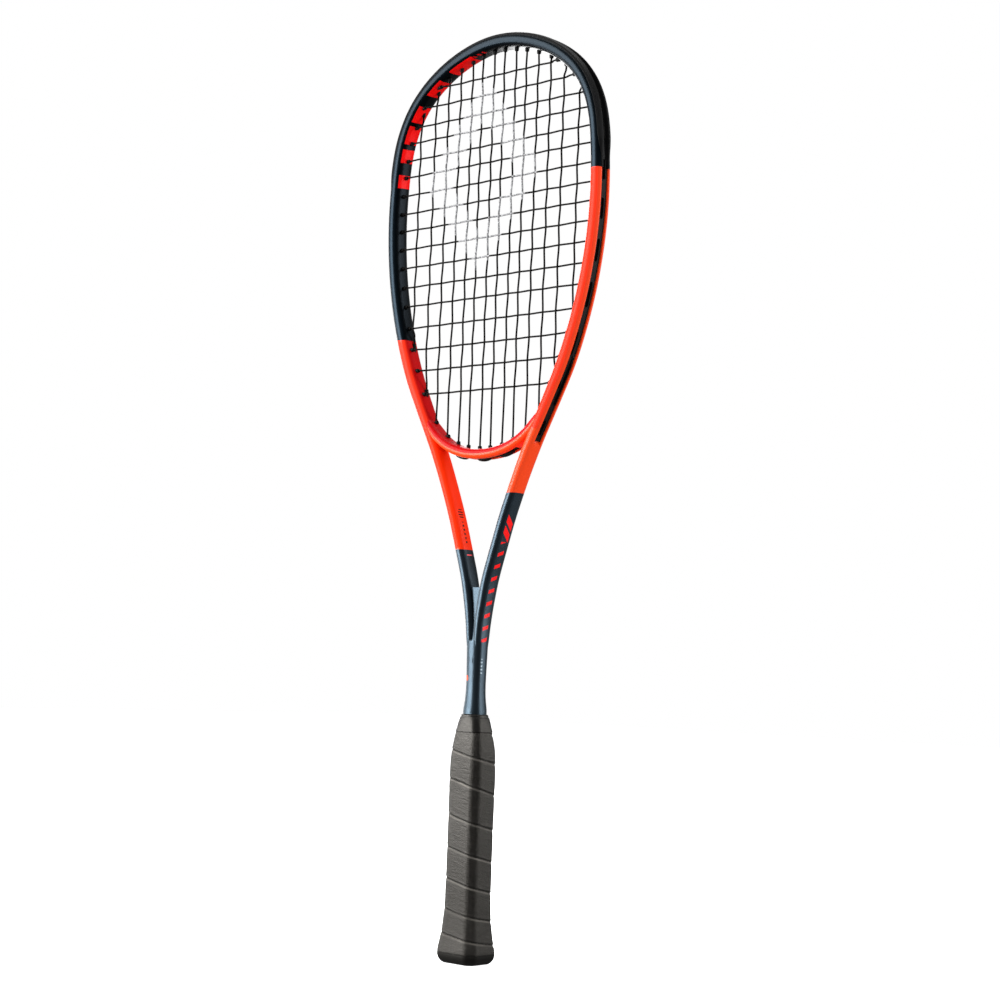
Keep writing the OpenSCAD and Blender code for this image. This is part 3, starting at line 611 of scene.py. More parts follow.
def sweep_tube(path, s_list, n_exp, gate_fn, grow=0.0, flip=False):
    """rings and uv for a tube along path"""
    rings, uvs = [], []
    for s in s_list:
        p, nrm = path.at(s)
        p, nrm = p[0], nrm[0]
        g = grow(s) if callable(grow) else grow
        ring = tube_section(p[2] + g, p[3] + g, n_exp(s, p) if callable(n_exp) else n_exp, gate_fn(s, p))
        if flip:
            ring = -ring
        xyz = np.c_[p[0] + nrm[0] * ring[:, 0], ring[:, 1], p[1] + nrm[1] * ring[:, 0]]
        rings.append(xyz)
        m = len(ring)
        # w runs from the back middle over the outside (positive), through 0 at the front, to the inside (negative)
        front = 9 + 13 + 8 - 1
        d = np.r_[0, np.cumsum(np.hypot(*np.diff(np.vstack([ring, ring[:1]]), axis=0).T))]
        w = d[front] - d
        uvs.append([(s * MM, float(q) * MM) for q in w])
    return np.array(rings), uvs


S_END = rail.s.max()
S_GROOVE = S_OF_Z(GROOVE_END)


def rail_stations():
    s = list(np.arange(0, S_END, 3.0))
    s += [S_GROOVE - 0.02, S_GROOVE + 0.25, S_GROOVE + 1.2, S_GROOVE + 2.6, S_END - 0.2]
    s = sorted(set(round(q, 3) for q in s))
    out = [s[0]]
    for q in s[1:]:
        if q - out[-1] > 0.2:
            out.append(q)
    full = [-q for q in out[::-1]] + out[1:]
    return full[::-1]


def rail_gate(s, p):
    return float(1 - smooth(abs(s), S_GROOVE, S_GROOVE + 2.4))


SECTION_N = 2.9
SWELL = ([150, 170.5, 177, 181, 184, 188, 193, 200], [0, 0, 1.3, 1.35, 1.05, 0.55, 0.15, 0])
sh = Shell()
Z_OF_S = lambda s: float(rail.at(s)[0][0][1])
rings, uvs = sweep_tube(rail, rail_stations(), lambda s, p: 2.7 + 0.2 * float(smooth(p[1], 226, 262)), rail_gate,
                        grow=lambda s: -1.1 * (1 - float(smooth(Z_OF_S(s), 212, 238))))
sh.loft(rings, uvs)
RAIL_FACES = len(sh.f)
# shaft
zs = np.concatenate([[150.0, 160, 170, 172, 174], np.arange(176, 234, 2.0)])
srings, suv = [], []
for z in zs:
    k = smooth(z, 198, 240)
    q = float(np.interp(z, SWELL[0], SWELL[1]))
    e = superellipse(6.35 + 0.75 * k + q, 6.5 + 0.5 * k + q, 2.9, 64)
    srings.append(np.c_[e, np.full(len(e), z)])
    suv.append([((700 - z) * MM, 0.001 if q[0] > 0 else 0.001) for q in np.vstack([e, e[:1]])])
sh.loft(srings, suv)
# web between the legs
wr = []
for z in np.arange(216, 271.01, 2.5):
    k = smooth(z, 216, 268)
    hx = np.interp(z, [216, 230, 240, 250, 260, 271], [3.0, 3.6, 4.2, 5.2, 6.6, 8.6])
    hy = np.interp(z, [216, 222, 229, 236, 246, 258, 271], [6.9, 6.7, 5.6, 4.6, 4.0, 3.7, 3.5])
    e = superellipse(hx, hy, 6.0, 40)
    wr.append(np.c_[e, np.full(len(e), z)])
sh.loft(wr)
allv = np.vstack(sh.v)
# the inner wall, the front of the orange head and the left leg's orange zone take the low-specular paint, whose deeper
# red is painted shade
for i, q in enumerate(sh.uv[:RAIL_FACES]):
    w = sum(c[1] for c in q) / len(q)
    cx, _, cz = allv[list(sh.f[i])].mean(0)
    flame_head = (385 < cz < 569.4) if cx > 0 else (385 < cz < 460.8)
    if w < -0.0028 or (flame_head and w < 0.0032) or (cx < 0 and 299 < cz < 385):
        sh.m[i] = 1
frame_ob = sh.make("racket_frame", [M_FRAME, M_FRAME_IN], 38)
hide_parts("frame_tube")
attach(frame_ob, "racket")

# bridge
SPAN_S = float(np.interp(-31.4, -span.p[span.s > 0][:, 0], span.s[span.s > 0]))
st = sorted(set(list(np.arange(0, span.s.max(), 2.0)) + [SPAN_S, SPAN_S + 0.3, SPAN_S + 1.5, span.s.max()]))
st = [-q for q in st[:0:-1]] + st
sh = Shell()
rings, uvs = sweep_tube(span, st[::-1], SECTION_N, lambda s, p: float(1 - smooth(abs(s), SPAN_S, SPAN_S + 1.6)), flip=True)
sh.loft(rings, uvs)
for i, q in enumerate(sh.uv):
    if sum(c[1] for c in q) / len(q) < -0.0028:
        sh.m[i] = 1
bridge_ob = sh.make("throat_span", [M_BRIDGE, M_BRIDGE_IN], 38)
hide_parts("throat_bridge")
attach(bridge_ob, "racket")

# ------------------------------------------------------------------ guards, strips and barrels
FLOOR_T = 0.7
SEAT = 0.35 - GROOVE_D
BARREL_OUT = 2.2


def near_m(i):
    return 1.75 if i >= 5 else 0.0


def near_c(j):
    return -1.75 if (j < 2 or j > 13) else 0.0


def slant_pt(i, k, d):
    a = np.array([MAIN_X[i], span_inner(MAIN_X[i])])
    b = np.array([side_x(SLANT_Z[i], 1, -GROOVE_D), SLANT_Z[i]])
    u = (b - a) / np.linalg.norm(b - a)
    return b + u * (d + GROOVE_D) if k > 0 else a + u * d


def span_inner(x):
    return low_z(x, -1, 0)


def m_low(s, i, k, d):
    if i in SLANT_Z:
        p = slant_pt(i, k, d)
        return np.array([s * p[0], 0.0, p[1]])
    return np.array([s * MAIN_X[i], near_m(i), low_z(MAIN_X[i], k, d)])


def m_top(s, i, k, d):
    return np.array([s * MAIN_X[i], near_m(i), top_z(MAIN_X[i], k, d)])


def c_side(s, j, k, d):
    return np.array([s * side_x(CROSS_Z[j], k, d), near_c(j), CROSS_Z[j]])


def barrel(sh, inner, outer, mat=0):
    """a grommet barrel: inner is the open end inside the head"""
    L = np.linalg.norm(outer - inner)
    prof = [(1.4, 0.82), (0.35, 0.84), (0.06, 0.95), (0.0, 1.12), (0.06, 1.36), (0.30, 1.50), (0.9, 1.55), (2.0, 1.60), (L, 1.60), (L, 0.82)]
    r = lathe(inner, outer, prof, 18)
    sh.loft(r, None, caps=False, closed=True, mat=mat)


def out_m(i):
    """barrels that meet a steep wall stand out less"""
    return (BARREL_OUT, BARREL_OUT, BARREL_OUT, BARREL_OUT, 2.0, 1.3, 0.7)[i]


def bumper_section(a, b, k):
    """k goes 0 at the ends to 1 over the tip: the guard widens and stands out"""
    lo = a - GROOVE_D + 0.04
    w = GROOVE_W - 0.12
    n = SECTION_N
    ov = 4.4 + 2.4 * k
    top = a + 0.3 + 0.9 * k
    fl = se_u(a, b, ov, n)
    side = [[lo, w], [se_u(a, b, GROOVE_W, n) + 0.05, w + 0.1], [se_u(a, b, (GROOVE_W + ov) / 2, n) + 0.05, (GROOVE_W + ov) / 2],
            [fl + 0.04, ov], [fl + 0.30 + 0.2 * k, ov + 0.16], [fl + (top - fl) * 0.62, ov - 0.25 - 0.3 * k], [top - 0.12, GROOVE_W + 0.25 * k + 0.2],
            [top, GROOVE_W - 0.35], [top, 3.05], [top - 0.16, 2.84], [lo + FLOOR_T + 0.12, 2.62], [lo + FLOOR_T, 2.45]]
    side = np.array(side)
    other = side[::-1].copy()
    other[:, 1] *= -1
    return np.vstack([side, other])


sh = Shell()
s_b = S_OF_Z(BUMPER_END)
rings, st = [], np.unique(np.r_[np.arange(-s_b, s_b, 2.0), s_b])
for s in st[::-1]:
    p, nrm = rail.at(s)
    p, nrm = p[0], nrm[0]
    k = float(smooth(s_b - abs(s), 2, 26))
    r = bumper_section(p[2], p[3], k)[::-1]
    rings.append(np.c_[p[0] + nrm[0] * r[:, 0], r[:, 1], p[1] + nrm[1] * r[:, 0]])
sh.loft(rings)
for s in (-1, 1):
    for i in range(7):
        barrel(sh, m_top(s, i, -1, -out_m(i)), m_top(s, i, 1, SEAT))
    for j in range(7):
        barrel(sh, c_side(s, j, -1, -(1.3 if j < 2 else BARREL_OUT)), c_side(s, j, 1, SEAT))
ob = sh.make("tip_bumper", [M_GUARD], 34)
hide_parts("bumper_guard")
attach(ob, "racket")


def strip_section(a, hump=0.0):
    lo = a - GROOVE_D + 0.03
    w = GROOVE_W - 0.16
    side = np.array([[lo, w], [lo + 0.85, w], [lo + 0.98, w - 0.12], [lo + 0.98, w - 0.42], [lo + 0.88, w - 0.56],
                     [lo + FLOOR_T + 0.05, w - 0.80], [lo + FLOOR_T, w - 1.4]])
    other = side[::-1].copy()
    other[:, 1] *= -1
    return np.vstack([side, other])


for s, name, node in ((-1, "strip_left", "grommet_strip_left"), (1, "strip_right", "grommet_strip_right")):
    sh = Shell()
    lo, hi = S_OF_Z(BUMPER_END - 0.4), S_OF_Z(GROOVE_END + 0.4)
    rings = []
    for q in np.unique(np.r_[np.arange(lo, hi, 2.0), hi]):
        p, nrm = rail.at(s * q)
        p, nrm = p[0], nrm[0]
        r = strip_section(p[2])[::-1]
        rings.append(np.c_[p[0] + nrm[0] * r[:, 0], r[:, 1], p[1] + nrm[1] * r[:, 0]])
    sh.loft(rings)
    for i in range(3, 7):
        barrel(sh, m_low(s, i, -1, -out_m(i)), m_low(s, i, 1, SEAT))
    for j in range(7, 17):
        barrel(sh, c_side(s, j, -1, -BARREL_OUT), c_side(s, j, 1, SEAT))
    ob = sh.make(name, [M_STRIP], 34)
    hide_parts(node)
    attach(ob, "racket")

sh = Shell()
rings = []
for q in np.linspace(SPAN_S - 0.3, -SPAN_S + 0.3, 60):
    p, nrm = span.at(q)
    p, nrm = p[0], nrm[0]
    r = -strip_section(p[2])[::-1]
    rings.append(np.c_[p[0] + nrm[0] * r[:, 0], r[:, 1], p[1] + nrm[1] * r[:, 0]])
sh.loft(rings)
for s in (-1, 1):
    for i in range(3):
        barrel(sh, m_low(s, i, -1, -BARREL_OUT), m_low(s, i, 1, SEAT))
# bulges over the three string loops
for x0 in (-22.0, 0.0, 22.0):
    xs = x0 + np.linspace(-6.2, 6.2, 25)
    rr = []
    for x in xs:
        q = float(np.interp(-x, -span.p[:, 0], span.s))
        p, nrm = span.at(q)
        p, nrm = p[0], nrm[0]
        k = math.sqrt(max(0.0, 1 - ((x - x0) / 6.3) ** 2))
        e = superellipse(0.25 + 1.75 * k, 0.5 + 1.7 * k, 2.3, 20)
        c = p[2] - GROOVE_D + FLOOR_T + 1.15
        rr.append(np.c_[p[0] - nrm[0] * (e[:, 0] + c), e[:, 1], p[1] - nrm[1] * (e[:, 0] + c)])
    sh.loft(rr)
ob = sh.make("strip_throat", [M_STRIP], 34)
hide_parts("throat_grommet_strip")
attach(ob, "racket")

# ------------------------------------------------------------------ strings
WEAVE = 0.46
S_OFF = FLOOR_T + STRING_R + 0.2 - GROOVE_D
MX = [-q for q in MAIN_X[::-1]] + MAIN_X
MI = [6, 5, 4, 3, 2, 1, 0, 0, 1, 2, 3, 4, 5, 6]


def wv(n, j):
    return WEAVE * (1 if (n + j) % 2 == 0 else -1)


def is_in(n, j):
    x, z = abs(MX[n]), CROSS_Z[j]
    return x < side_x(z, -1, -BARREL_OUT - 2) and low_z(x, -1, -BARREL_OUT - 2) < z < top_z(x, -1, -BARREL_OUT - 2)


def weave_line(axis_vals, offs, ends):
    """offset along a string: half waves between crossings, easing to 0 at both ends"""
    k = np.r_[ends[0], axis_vals, ends[1]]
    v = np.r_[0.0, offs, 0.0]
    pts = []
    for a, b, va, vb in zip(k[:-1], k[1:], v[:-1], v[1:]):
        m = max(5, int(abs(b - a) / 2.4))
        for t in np.linspace(0, 1, m, endpoint=False):
            w = (1 - math.cos(math.pi * t)) / 2
            pts.append((a + (b - a) * t, va + (vb - va) * w))
    pts.append((k[-1], 0.0))
    return np.array(pts)


def main_run(n):
    """low end to top end"""
    x, i, s = MX[n], MI[n], (1 if MX[n] > 0 else -1)
    lo, li = m_low(s, i, 1, S_OFF), m_low(s, i, -1, -BARREL_OUT - 0.4)
    ti, to = m_top(s, i, -1, -BARREL_OUT - 0.4), m_top(s, i, 1, S_OFF)
    js = [j for j in range(16, -1, -1) if is_in(n, j)]
    line = weave_line([CROSS_Z[j] for j in js], [wv(n, j) for j in js], (li[2], ti[2]))
    y0 = near_m(i)
    z = line[:, 0]
    ease = 1 - smooth(z, li[2], CROSS_Z[js[0]]) + smooth(z, CROSS_Z[js[-1]], ti[2])
    mid = np.c_[np.full(len(z), x), line[:, 1] + y0 * ease, z]
    return np.vstack([lo + (li - lo) * 1.0 / np.linalg.norm(li - lo), mid, to - np.array([0, 0, 1.0])])


def groove_line(a, b, f, n=9):
    return np.array([f(a + (b - a) * t, t) for t in np.linspace(0, 1, n)])


def head_loop(n):
    a, b = MX[n], MX[n + 1]
    ya, yb = near_m(MI[n]), near_m(MI[n + 1])
    t = np.linspace(0.06, 0.94, 9)
    return np.array([[a + (b - a) * q, ya + (yb - ya) * q, top_z(a + (b - a) * q, 1, S_OFF)] for q in t])


def low_loop(n):
    a, b = MX[n], MX[n + 1]
    t = np.linspace(0.06, 0.94, 9)
    if MI[n] in SLANT_Z and MI[n + 1] in SLANT_Z:
        s = 1 if a > 0 else -1
        za, zb = SLANT_Z[MI[n]], SLANT_Z[MI[n + 1]]
        return np.array([[s * side_x(za + (zb - za) * q, 1, S_OFF), 0.0, za + (zb - za) * q] for q in t])
    ya, yb = near_m(MI[n]), near_m(MI[n + 1])
    return np.array([[a + (b - a) * q, ya + (yb - ya) * q, low_z(a + (b - a) * q, 1, S_OFF)] for q in t])


def smooth_path(p, step=0.0):
    """rounds the corners a little by inserting quarter points once"""
    d = np.linalg.norm(np.diff(p, axis=0), axis=1)
    p = p[np.r_[True, d > 0.05]]
    q = [p[0]]
    for i in range(1, len(p) - 1):
        a, b, c = p[i - 1], p[i], p[i + 1]
        u, v = a - b, c - b
        lu, lv = np.linalg.norm(u), np.linalg.norm(v)
        if np.dot(u, v) / (lu * lv) > -0.93:
            r = min(0.45 * lu, 0.45 * lv, 0.8)
            q.append(b + u / lu * r)
            q.append(b + (u / lu + v / lv) * r * 0.25)
            q.append(b + v / lv * r)
        else:
            q.append(b)
    q.append(p[-1])
    return np.array(q)


def tail(a, d, f):
    return np.array([f(a + d * q) for q in (0.9, 2.0, 3.2, 4.5)])


path = []
t0 = tail(MX[0], -1, lambda x: [x, 1.75, top_z(x, 1, S_OFF)])
path.append(t0[::-1])
for n in range(14):
    run = main_run(n)
    if n % 2 == 0:
        path += [run[::-1], low_loop(n)]
    else:
        path.append(run)
        if n < 13:
            path.append(head_loop(n))
path.append(tail(MX[13], 1, lambda x: [x, 1.75, top_z(x, 1, S_OFF)]))
p = smooth_path(np.vstack(path))
sh = Shell()
sh.loft(cord_rings(p, STRING_R * 1.12, 8))
ob = sh.make("strings_main", [M_STRING], 60)
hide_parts("main_string")
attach(ob, "racket")


def cross_run(j):
    """left to right"""
    z = CROSS_Z[j]
    lo, li = c_side(-1, j, 1, S_OFF), c_side(-1, j, -1, -BARREL_OUT - 0.4)
    ns = [n for n in range(14) if is_in(n, j)]
    line = weave_line([MX[n] for n in ns], [-wv(n, j) for n in ns], (li[0], -li[0]))
    x = line[:, 0]
    y0 = near_c(j)
    ease = 1 - smooth(x, li[0], MX[ns[0]]) + smooth(x, MX[ns[-1]], -li[0])
    mid = np.c_[x, line[:, 1] + y0 * ease, np.full(len(x), z)]
    return np.vstack([lo + np.array([1.0, 0, 0]), mid, -lo * [1, -1, -1] - np.array([1.0, 0, 0])])


def side_loop(j, s):
    a, b = CROSS_Z[j], CROSS_Z[j + 1]
    ya, yb = near_c(j), near_c(j + 1)
    return np.array([[s * side_x(a + (b - a) * q, 1, S_OFF), ya + (yb - ya) * q, a + (b - a) * q] for q in np.linspace(0.06, 0.94, 9)])


path = [tail(CROSS_Z[0], 1, lambda z: [-side_x(z, 1, S_OFF), near_c(0), z])[::-1]]
for j in range(17):
    run = cross_run(j)
    if j % 2 == 0:
        path.append(run)
        if j < 16:
            path.append(side_loop(j, 1))
    else:
        path += [run[::-1], side_loop(j, -1)]
path.append(tail(CROSS_Z[16], -1, lambda z: [side_x(z, 1, S_OFF), near_c(16), z]))
p = smooth_path(np.vstack(path))
sh = Shell()
sh.loft(cord_rings(p, STRING_R * 1.12, 8))
ob = sh.make("strings_cross", [M_STRING], 60)
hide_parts("cross_string")
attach(ob, "racket")

# ------------------------------------------------------------------ handle
FLARE_Z = [0, 4, 7.5, 15, 22, 29, 36, 45, 60, 100, 140, 146, 152, 159, 166, 172, 180]
FLARE_K = [1.27, 1.293, 1.295, 1.205, 1.125, 1.07, 1.032, 1.008, 1.0, 1.0, 1.0, 0.985, 0.958, 0.885, 0.79, 0.74, 0.66]
_fl = spline(FLARE_Z, FLARE_K)


def fl(z):
    z = np.asarray(z, float)
    return np.interp(z, FLARE_Z, FLARE_K) * 0.35 + 0.65 * _fl(z)[:, 0].reshape(z.shape)


def octagon(w, h, rc, count):
    """octagon with long front flats and rounded corners: points and outward normals, evenly spaced, counter-clockwise from the front middle"""
    x, y = w / 2 - rc, h / 2 - rc
    fx, sy = w * 0.303, h * 0.268
    t = math.tan(math.pi / 8) * rc * 0.9
    c = np.array([[0, -y], [fx - t * 0.5, -y], [x, -sy + t * 0.5], [x, sy - t * 0.5], [fx - t * 0.5, y], [-fx + t * 0.5, y],
                  [-x, sy - t * 0.5], [-x, -sy + t * 0.5], [-fx + t * 0.5, -y], [0, -y]])
    pts, nrm = [], []
    prev = None
    for a, b in zip(c[:-1], c[1:]):
        d = (b - a) / np.linalg.norm(b - a)
        nn = np.array([d[1], -d[0]])
        if prev is not None:
            a0, a1 = math.atan2(prev[1], prev[0]), math.atan2(nn[1], nn[0])
            if a1 < a0 - 1e-6:
                a1 += 2 * math.pi
            if a1 - a0 > 1e-3:
                for q in np.linspace(a0, a1, 9)[1:-1]:
                    pts.append(a + rc * np.array([math.cos(q), math.sin(q)]))
                    nrm.append([math.cos(q), math.sin(q)])
        for q in (0.0, 1.0):
            pts.append(a + (b - a) * q + nn * rc)
            nrm.append(nn)
        prev = nn
    pts, nrm = np.array(pts), np.array(nrm)
    run = np.r_[0, np.cumsum(np.hypot(*np.diff(pts, axis=0).T))]
    keep = np.r_[True, np.diff(run) > 1e-6]
    q = np.linspace(0, run[-1], count, endpoint=False)
    p = np.c_[np.interp(q, run[keep], pts[keep, 0]), np.interp(q, run[keep], pts[keep, 1])]
    m = np.c_[np.interp(q, run[keep], nrm[keep, 0]), np.interp(q, run[keep], nrm[keep, 1])]
    return p, m / np.linalg.norm(m, axis=1)[:, None]


# height of the seam on the front middle, turn by turn
TURN_Z = [-12.0, 3.0, 19.7, 36.6, 58.2, 80.6, 103.7, 129.8, 150.3, 172.0]
TURN_T = list(range(-1, 9))
GRIP_W, GRIP_H = 30.0, 25.0
COUNT = 168


def seam_depth(ph, pitch):
    """surface height across one turn of the band: ph 0 at the seam, rising to 1 at the next seam up"""
    d = ph * pitch                      # mm above the seam below
    e = (1 - ph) * pitch                # mm under the seam above
    groove = -0.34 * np.exp(-(np.minimum(d, e) / 0.40) ** 2)
    t = np.clip(e / 2.6, 0, 1)
    bevel = -0.42 * (1 - t * t * (3 - 2 * t))          # the upper edge of each turn slopes in
    lip = 0.16 * np.exp(-((d - 1.0) / 0.75) ** 2)       # the lower edge of the next turn stands over it
    cushion = 0.14 * np.sin(np.pi * np.clip(ph, 0, 1))
    return groove + bevel + lip + cushion


def handle_rings(zs, extra, z_top=166.0, seams=True):
    out = []
    for z, ex in zip(zs, extra):
        k = float(fl(z))
        p, m = octagon(GRIP_W * k, GRIP_H * k, 5.6, COUNT)
        frac = np.arange(COUNT) / COUNT
        if seams:
            T = np.interp(z, TURN_Z, TURN_T)
            lo = np.interp(math.floor(T), TURN_T, TURN_Z)
            hi = np.interp(math.floor(T) + 1, TURN_T, TURN_Z)
            ph = (T + frac) % 1.0
            fade = float(smooth(z, 8.5, 13.0))
            dd = seam_depth(ph, hi - lo) * (0.25 + 0.75 * fade)
        else:
            dd = 0
        p = p + m * np.reshape(dd + ex, (-1, 1) if np.ndim(dd) else (1, 1))
        out.append(np.c_[p, np.full(COUNT, z)])
    return np.array(out)


zs = np.unique(np.r_[np.arange(7.6, 166.2, 0.55), 166.2])
rings = handle_rings(zs, np.where(zs > 165.6, -0.4, 0.0) - 0.35 * np.clip((8.6 - zs) / 1.0, 0, 1) ** 2)
sh = Shell()
# u = distance under the seam above, v = distance over the seam below (in units of 10 mm)
guv = []
for z in zs:
    T = np.interp(z, TURN_Z, TURN_T)
    lo = np.interp(math.floor(T), TURN_T, TURN_Z)
    hi = np.interp(math.floor(T) + 1, TURN_T, TURN_Z)
    ph = T + np.arange(COUNT + 1) / COUNT
    ph = ph - np.floor(ph)
    guv.append([((1 - q) * (hi - lo) / 10.0, q * (hi - lo) / 10.0) for q in ph])
# outer skin then back down the inside
inner = np.array([handle_rings([z], [-2.2], seams=False)[0] for z in (165.8, 120.0, 60.0, 40.0, 26.5, 8.2)])
guv += [[(1.0, 1.0)] * (COUNT + 1)] * len(inner)
sh.loft(np.concatenate([rings, inner]), guv, caps=False, closed=True)
ob = sh.make("wound_band", [M_GRIP], 60)
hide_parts("grip_wrap")
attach(ob, "racket")

# butt cap foot with its sleeve
prof = [(0.0, -7.5), (0.0, -5.6), (0.12, -4.9), (0.45, -4.0), (1.0, -3.05), (1.8, -2.1), (2.8, -1.3), (3.9, -0.72), (5.1, -0.33), (6.3, -0.12),
        (7.1, -0.12), (7.5, -0.32), (7.6, -0.7), (7.6, -2.3), (25.9, -2.3), (26.0, -2.7), (25.9, -3.3), (6.0, -3.5), (3.6, -5.0), (3.4, -8.0)]
sh = Shell()
r = []
for z, ex in prof:
    k = float(fl(z))
    p, m = octagon(GRIP_W * k, GRIP_H * k, 5.6, COUNT)
    p = p + m * ex
    r.append(np.c_[p, np.full(COUNT, z)])
sh.loft(r, caps=True)
ob = sh.make("butt_foot", [M_CAP], 50)
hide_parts("butt_cap")
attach(ob, "racket")

# collar
prof = [(165.7, -1.2, 0), (165.75, -0.2, 0), (166.0, 0.15, 0), (166.6, 0.22, 0), (167.6, 0.05, 0.05), (170, 0.0, 0.15), (173, 0.0, 0.35), (175.2, -0.05, 0.55),
        (176.2, -0.2, 0.7), (176.7, -0.5, 0.8), (177.1, -0.35, 0.85), (177.9, -0.3, 0.95), (178.4, -0.7, 1), (178.6, -1.4, 1)]
sh = Shell()
r = []
for z, ex, rnd in prof:
    w = np.interp(z, [165, 166, 170, 174, 177, 180], [24.0, 23.9, 22.3, 20.8, 19.3, 18.4])
    p, m = octagon(w, w * 0.88, 4.6, COUNT)
    e = superellipse(w / 2, w / 2 + 0.05, 2.4, COUNT)
    e = np.roll(e, COUNT // 4, axis=0)
    q = (p + m * ex) * (1 - rnd) + (e + e / np.linalg.norm(e, axis=1)[:, None] * ex) * rnd
    r.append(np.c_[q, np.full(COUNT, z)])
for z, a, b in ((178.5, 8.0, 8.2), (175, 8.0, 8.2), (171, 9.9, 9.2), (166, 9.9, 9.2)):
    e = np.roll(superellipse(a, b, 2.4, COUNT), COUNT // 4, axis=0)
    r.append(np.c_[e, np.full(COUNT, z)])
sh.loft(r, caps=False, closed=True)
ob = sh.make("shaft_collar", [M_COLLAR], 50)
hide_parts("grip_collar")
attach(ob, "collar")

# ------------------------------------------------------------------ CAD nodes that stay
for node, mat in (("pallet_front", M_FOAM), ("pallet_back", M_FOAM), ("cap_staple_left", M_WIRE), ("cap_staple_right", M_WIRE),
                  ("grip_tack", M_WIRE), ("finishing_tape", M_TAPE)):
    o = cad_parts[node]
    o.data.materials.clear()
    o.data.materials.append(mat)

# ------------------------------------------------------------------ stage, light, camera
n = Nodes("floor_paint")
floor_mat = n.done(n.mix(n.noise(3, 2, 0.5), (0.88, 0.88, 0.88), (0.91, 0.91, 0.91)), 0.6, n.bump(n.noise(40, 2, 0.5), 0.05, 0.001),
                   Emission_Color=(1.0, 1.0, 1.0, 1.0), Emission_Strength=0.93)
me = bpy.data.meshes.new("floor")
me.from_pydata([(-6, -6, 0), (6, -6, 0), (6, 6, 0), (-6, 6, 0)], [], [(0, 1, 2, 3)])
floor = bpy.data.objects.new("floor", me)
bpy.context.scene.collection.objects.link(floor)
me.materials.append(floor_mat)
floor.visible_diffuse = False
floor.visible_glossy = False

scene = bpy.context.scene
scene.view_settings.view_transform = "Standard"
scene.view_settings.look = "None"
world = bpy.data.worlds.new("studio")
scene.world = world
world.use_nodes = True
wt = world.node_tree
wt.nodes.clear()
wo = wt.nodes.new("ShaderNodeOutputWorld")
mixw = wt.nodes.new("ShaderNodeMixShader")
lp = wt.nodes.new("ShaderNodeLightPath")
b1 = wt.nodes.new("ShaderNodeBackground")
b2 = wt.nodes.new("ShaderNodeBackground")
wc = wt.nodes.new("ShaderNodeTexCoord")
dot = wt.nodes.new("ShaderNodeVectorMath")
dot.operation = "DOT_PRODUCT"
dot.inputs[1].default_value = (0.68, -0.73, 0.0)
wt.links.new(wc.outputs["Generated"], dot.inputs[0])
rampw = wt.nodes.new("ShaderNodeMapRange")
rampw.interpolation_type = "SMOOTHSTEP"
for i, v in enumerate((0.80, -0.2, 0.02, 0.30), 1):
    rampw.inputs[i].default_value = v
wt.links.new(dot.outputs["Value"], rampw.inputs[0])
rampd = wt.nodes.new("ShaderNodeMapRange")
rampd.interpolation_type = "SMOOTHSTEP"
for i, v in enumerate((-0.3, 0.9, 0.34, 0.98), 1):
    rampd.inputs[i].default_value = v
wt.links.new(dot.outputs["Value"], rampd.inputs[0])
pick = wt.nodes.new("ShaderNodeMix")
wt.links.new(lp.outputs["Is Diffuse Ray"], pick.inputs[0])
wt.links.new(rampw.outputs[0], pick.inputs[2])
wt.links.new(rampd.outputs[0], pick.inputs[3])
b1.inputs[0].default_value = (0.98, 0.99, 1.0, 1)
wt.links.new(pick.outputs[0], b1.inputs[1])
b2.inputs[0].default_value = (1, 1, 1, 1)
b2.inputs[1].default_value = 1.0
wt.links.new(lp.outputs["Is Camera Ray"], mixw.inputs[0])
wt.links.new(b1.outputs[0], mixw.inputs[1])
wt.links.new(b2.outputs[0], mixw.inputs[2])
wt.links.new(mixw.outputs[0], wo.inputs[0])


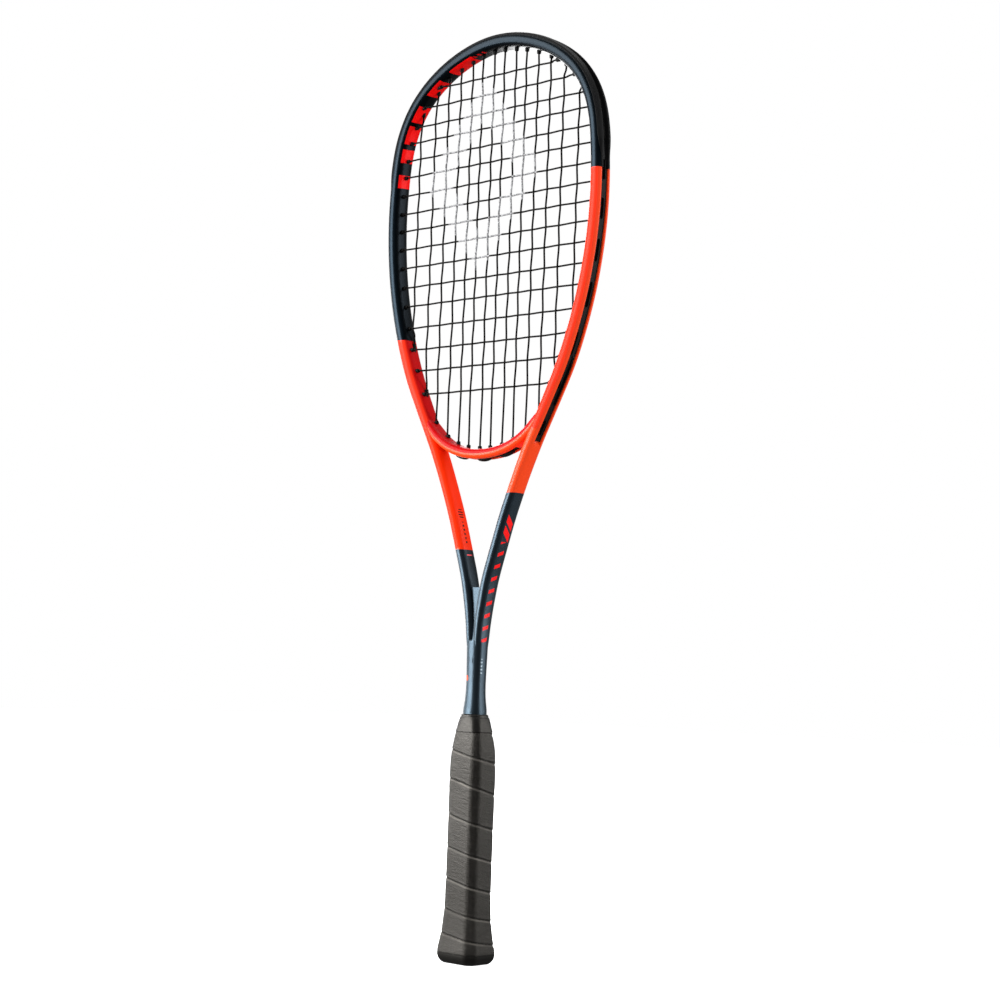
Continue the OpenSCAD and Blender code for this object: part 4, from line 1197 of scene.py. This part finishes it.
def area(name, pos, target, sx, sy, power):
    l = bpy.data.lights.new(name, "AREA")
    l.shape = "RECTANGLE"
    l.size, l.size_y = sx, sy
    l.energy = power
    o = bpy.data.objects.new(name, l)
    o.location = pos
    d = Vector(target) - Vector(pos)
    o.rotation_euler = d.to_track_quat("-Z", "Y").to_euler()
    scene.collection.objects.link(o)
    return o


area("key_left", (-1.35, -1.75, 1.05), (0, 0, 0.42), 0.9, 1.9, 76)
area("side_right", (1.70, 1.35, 0.75), (0, 0, 0.38), 0.7, 2.0, 30)
area("over", (-0.2, 0.3, 2.4), (0, 0, 0.5), 1.4, 1.4, 15)
area("key_low", (-1.35, -1.62, 0.145), (0, 0, 0.145), 0.75, 0.26, 13)
area("side_left", (-1.95, -0.35, 0.40), (0, 0, 0.30), 0.5, 0.75, 9)
area("back_left", (-1.6, 1.2, 0.9), (0, 0, 0.4), 0.8, 1.8, 24)

cam = bpy.data.cameras.new("camera")
co = bpy.data.objects.new("camera", cam)
scene.collection.objects.link(co)
R = np.array([[0.7408, 0.6708, 0.0355], [-0.0325, 0.0886, -0.9955], [-0.6709, 0.7364, 0.0874]])
R[0] /= np.linalg.norm(R[0])
R[2] -= R[0] * (R[0] @ R[2])
R[2] /= np.linalg.norm(R[2])
R[1] = np.cross(R[2], R[0])
T = np.array([-24.1, 333.3, 1440.8])
loc = -R.T @ T * MM


def turn(axis, a):
    c, q = math.cos(a), math.sin(a)
    i, j = [(1, 2), (2, 0), (0, 1)][axis]
    o = np.eye(3)
    o[i, i] = o[j, j] = c
    o[i, j], o[j, i] = -q, q
    return o


R = turn(2, 0.0021) @ turn(0, -1.05 / 1992.7) @ turn(1, -0.4 / 1992.7) @ R
m = Matrix.Identity(4)
for i in range(3):
    m[i][0], m[i][1], m[i][2], m[i][3] = R[0][i], -R[1][i], -R[2][i], loc[i]
co.matrix_world = m
cam.sensor_width = 36
cam.lens = 36 * 1992.68 * 1.0022 / 1000
cam.clip_start, cam.clip_end = 0.05, 50
scene.camera = co
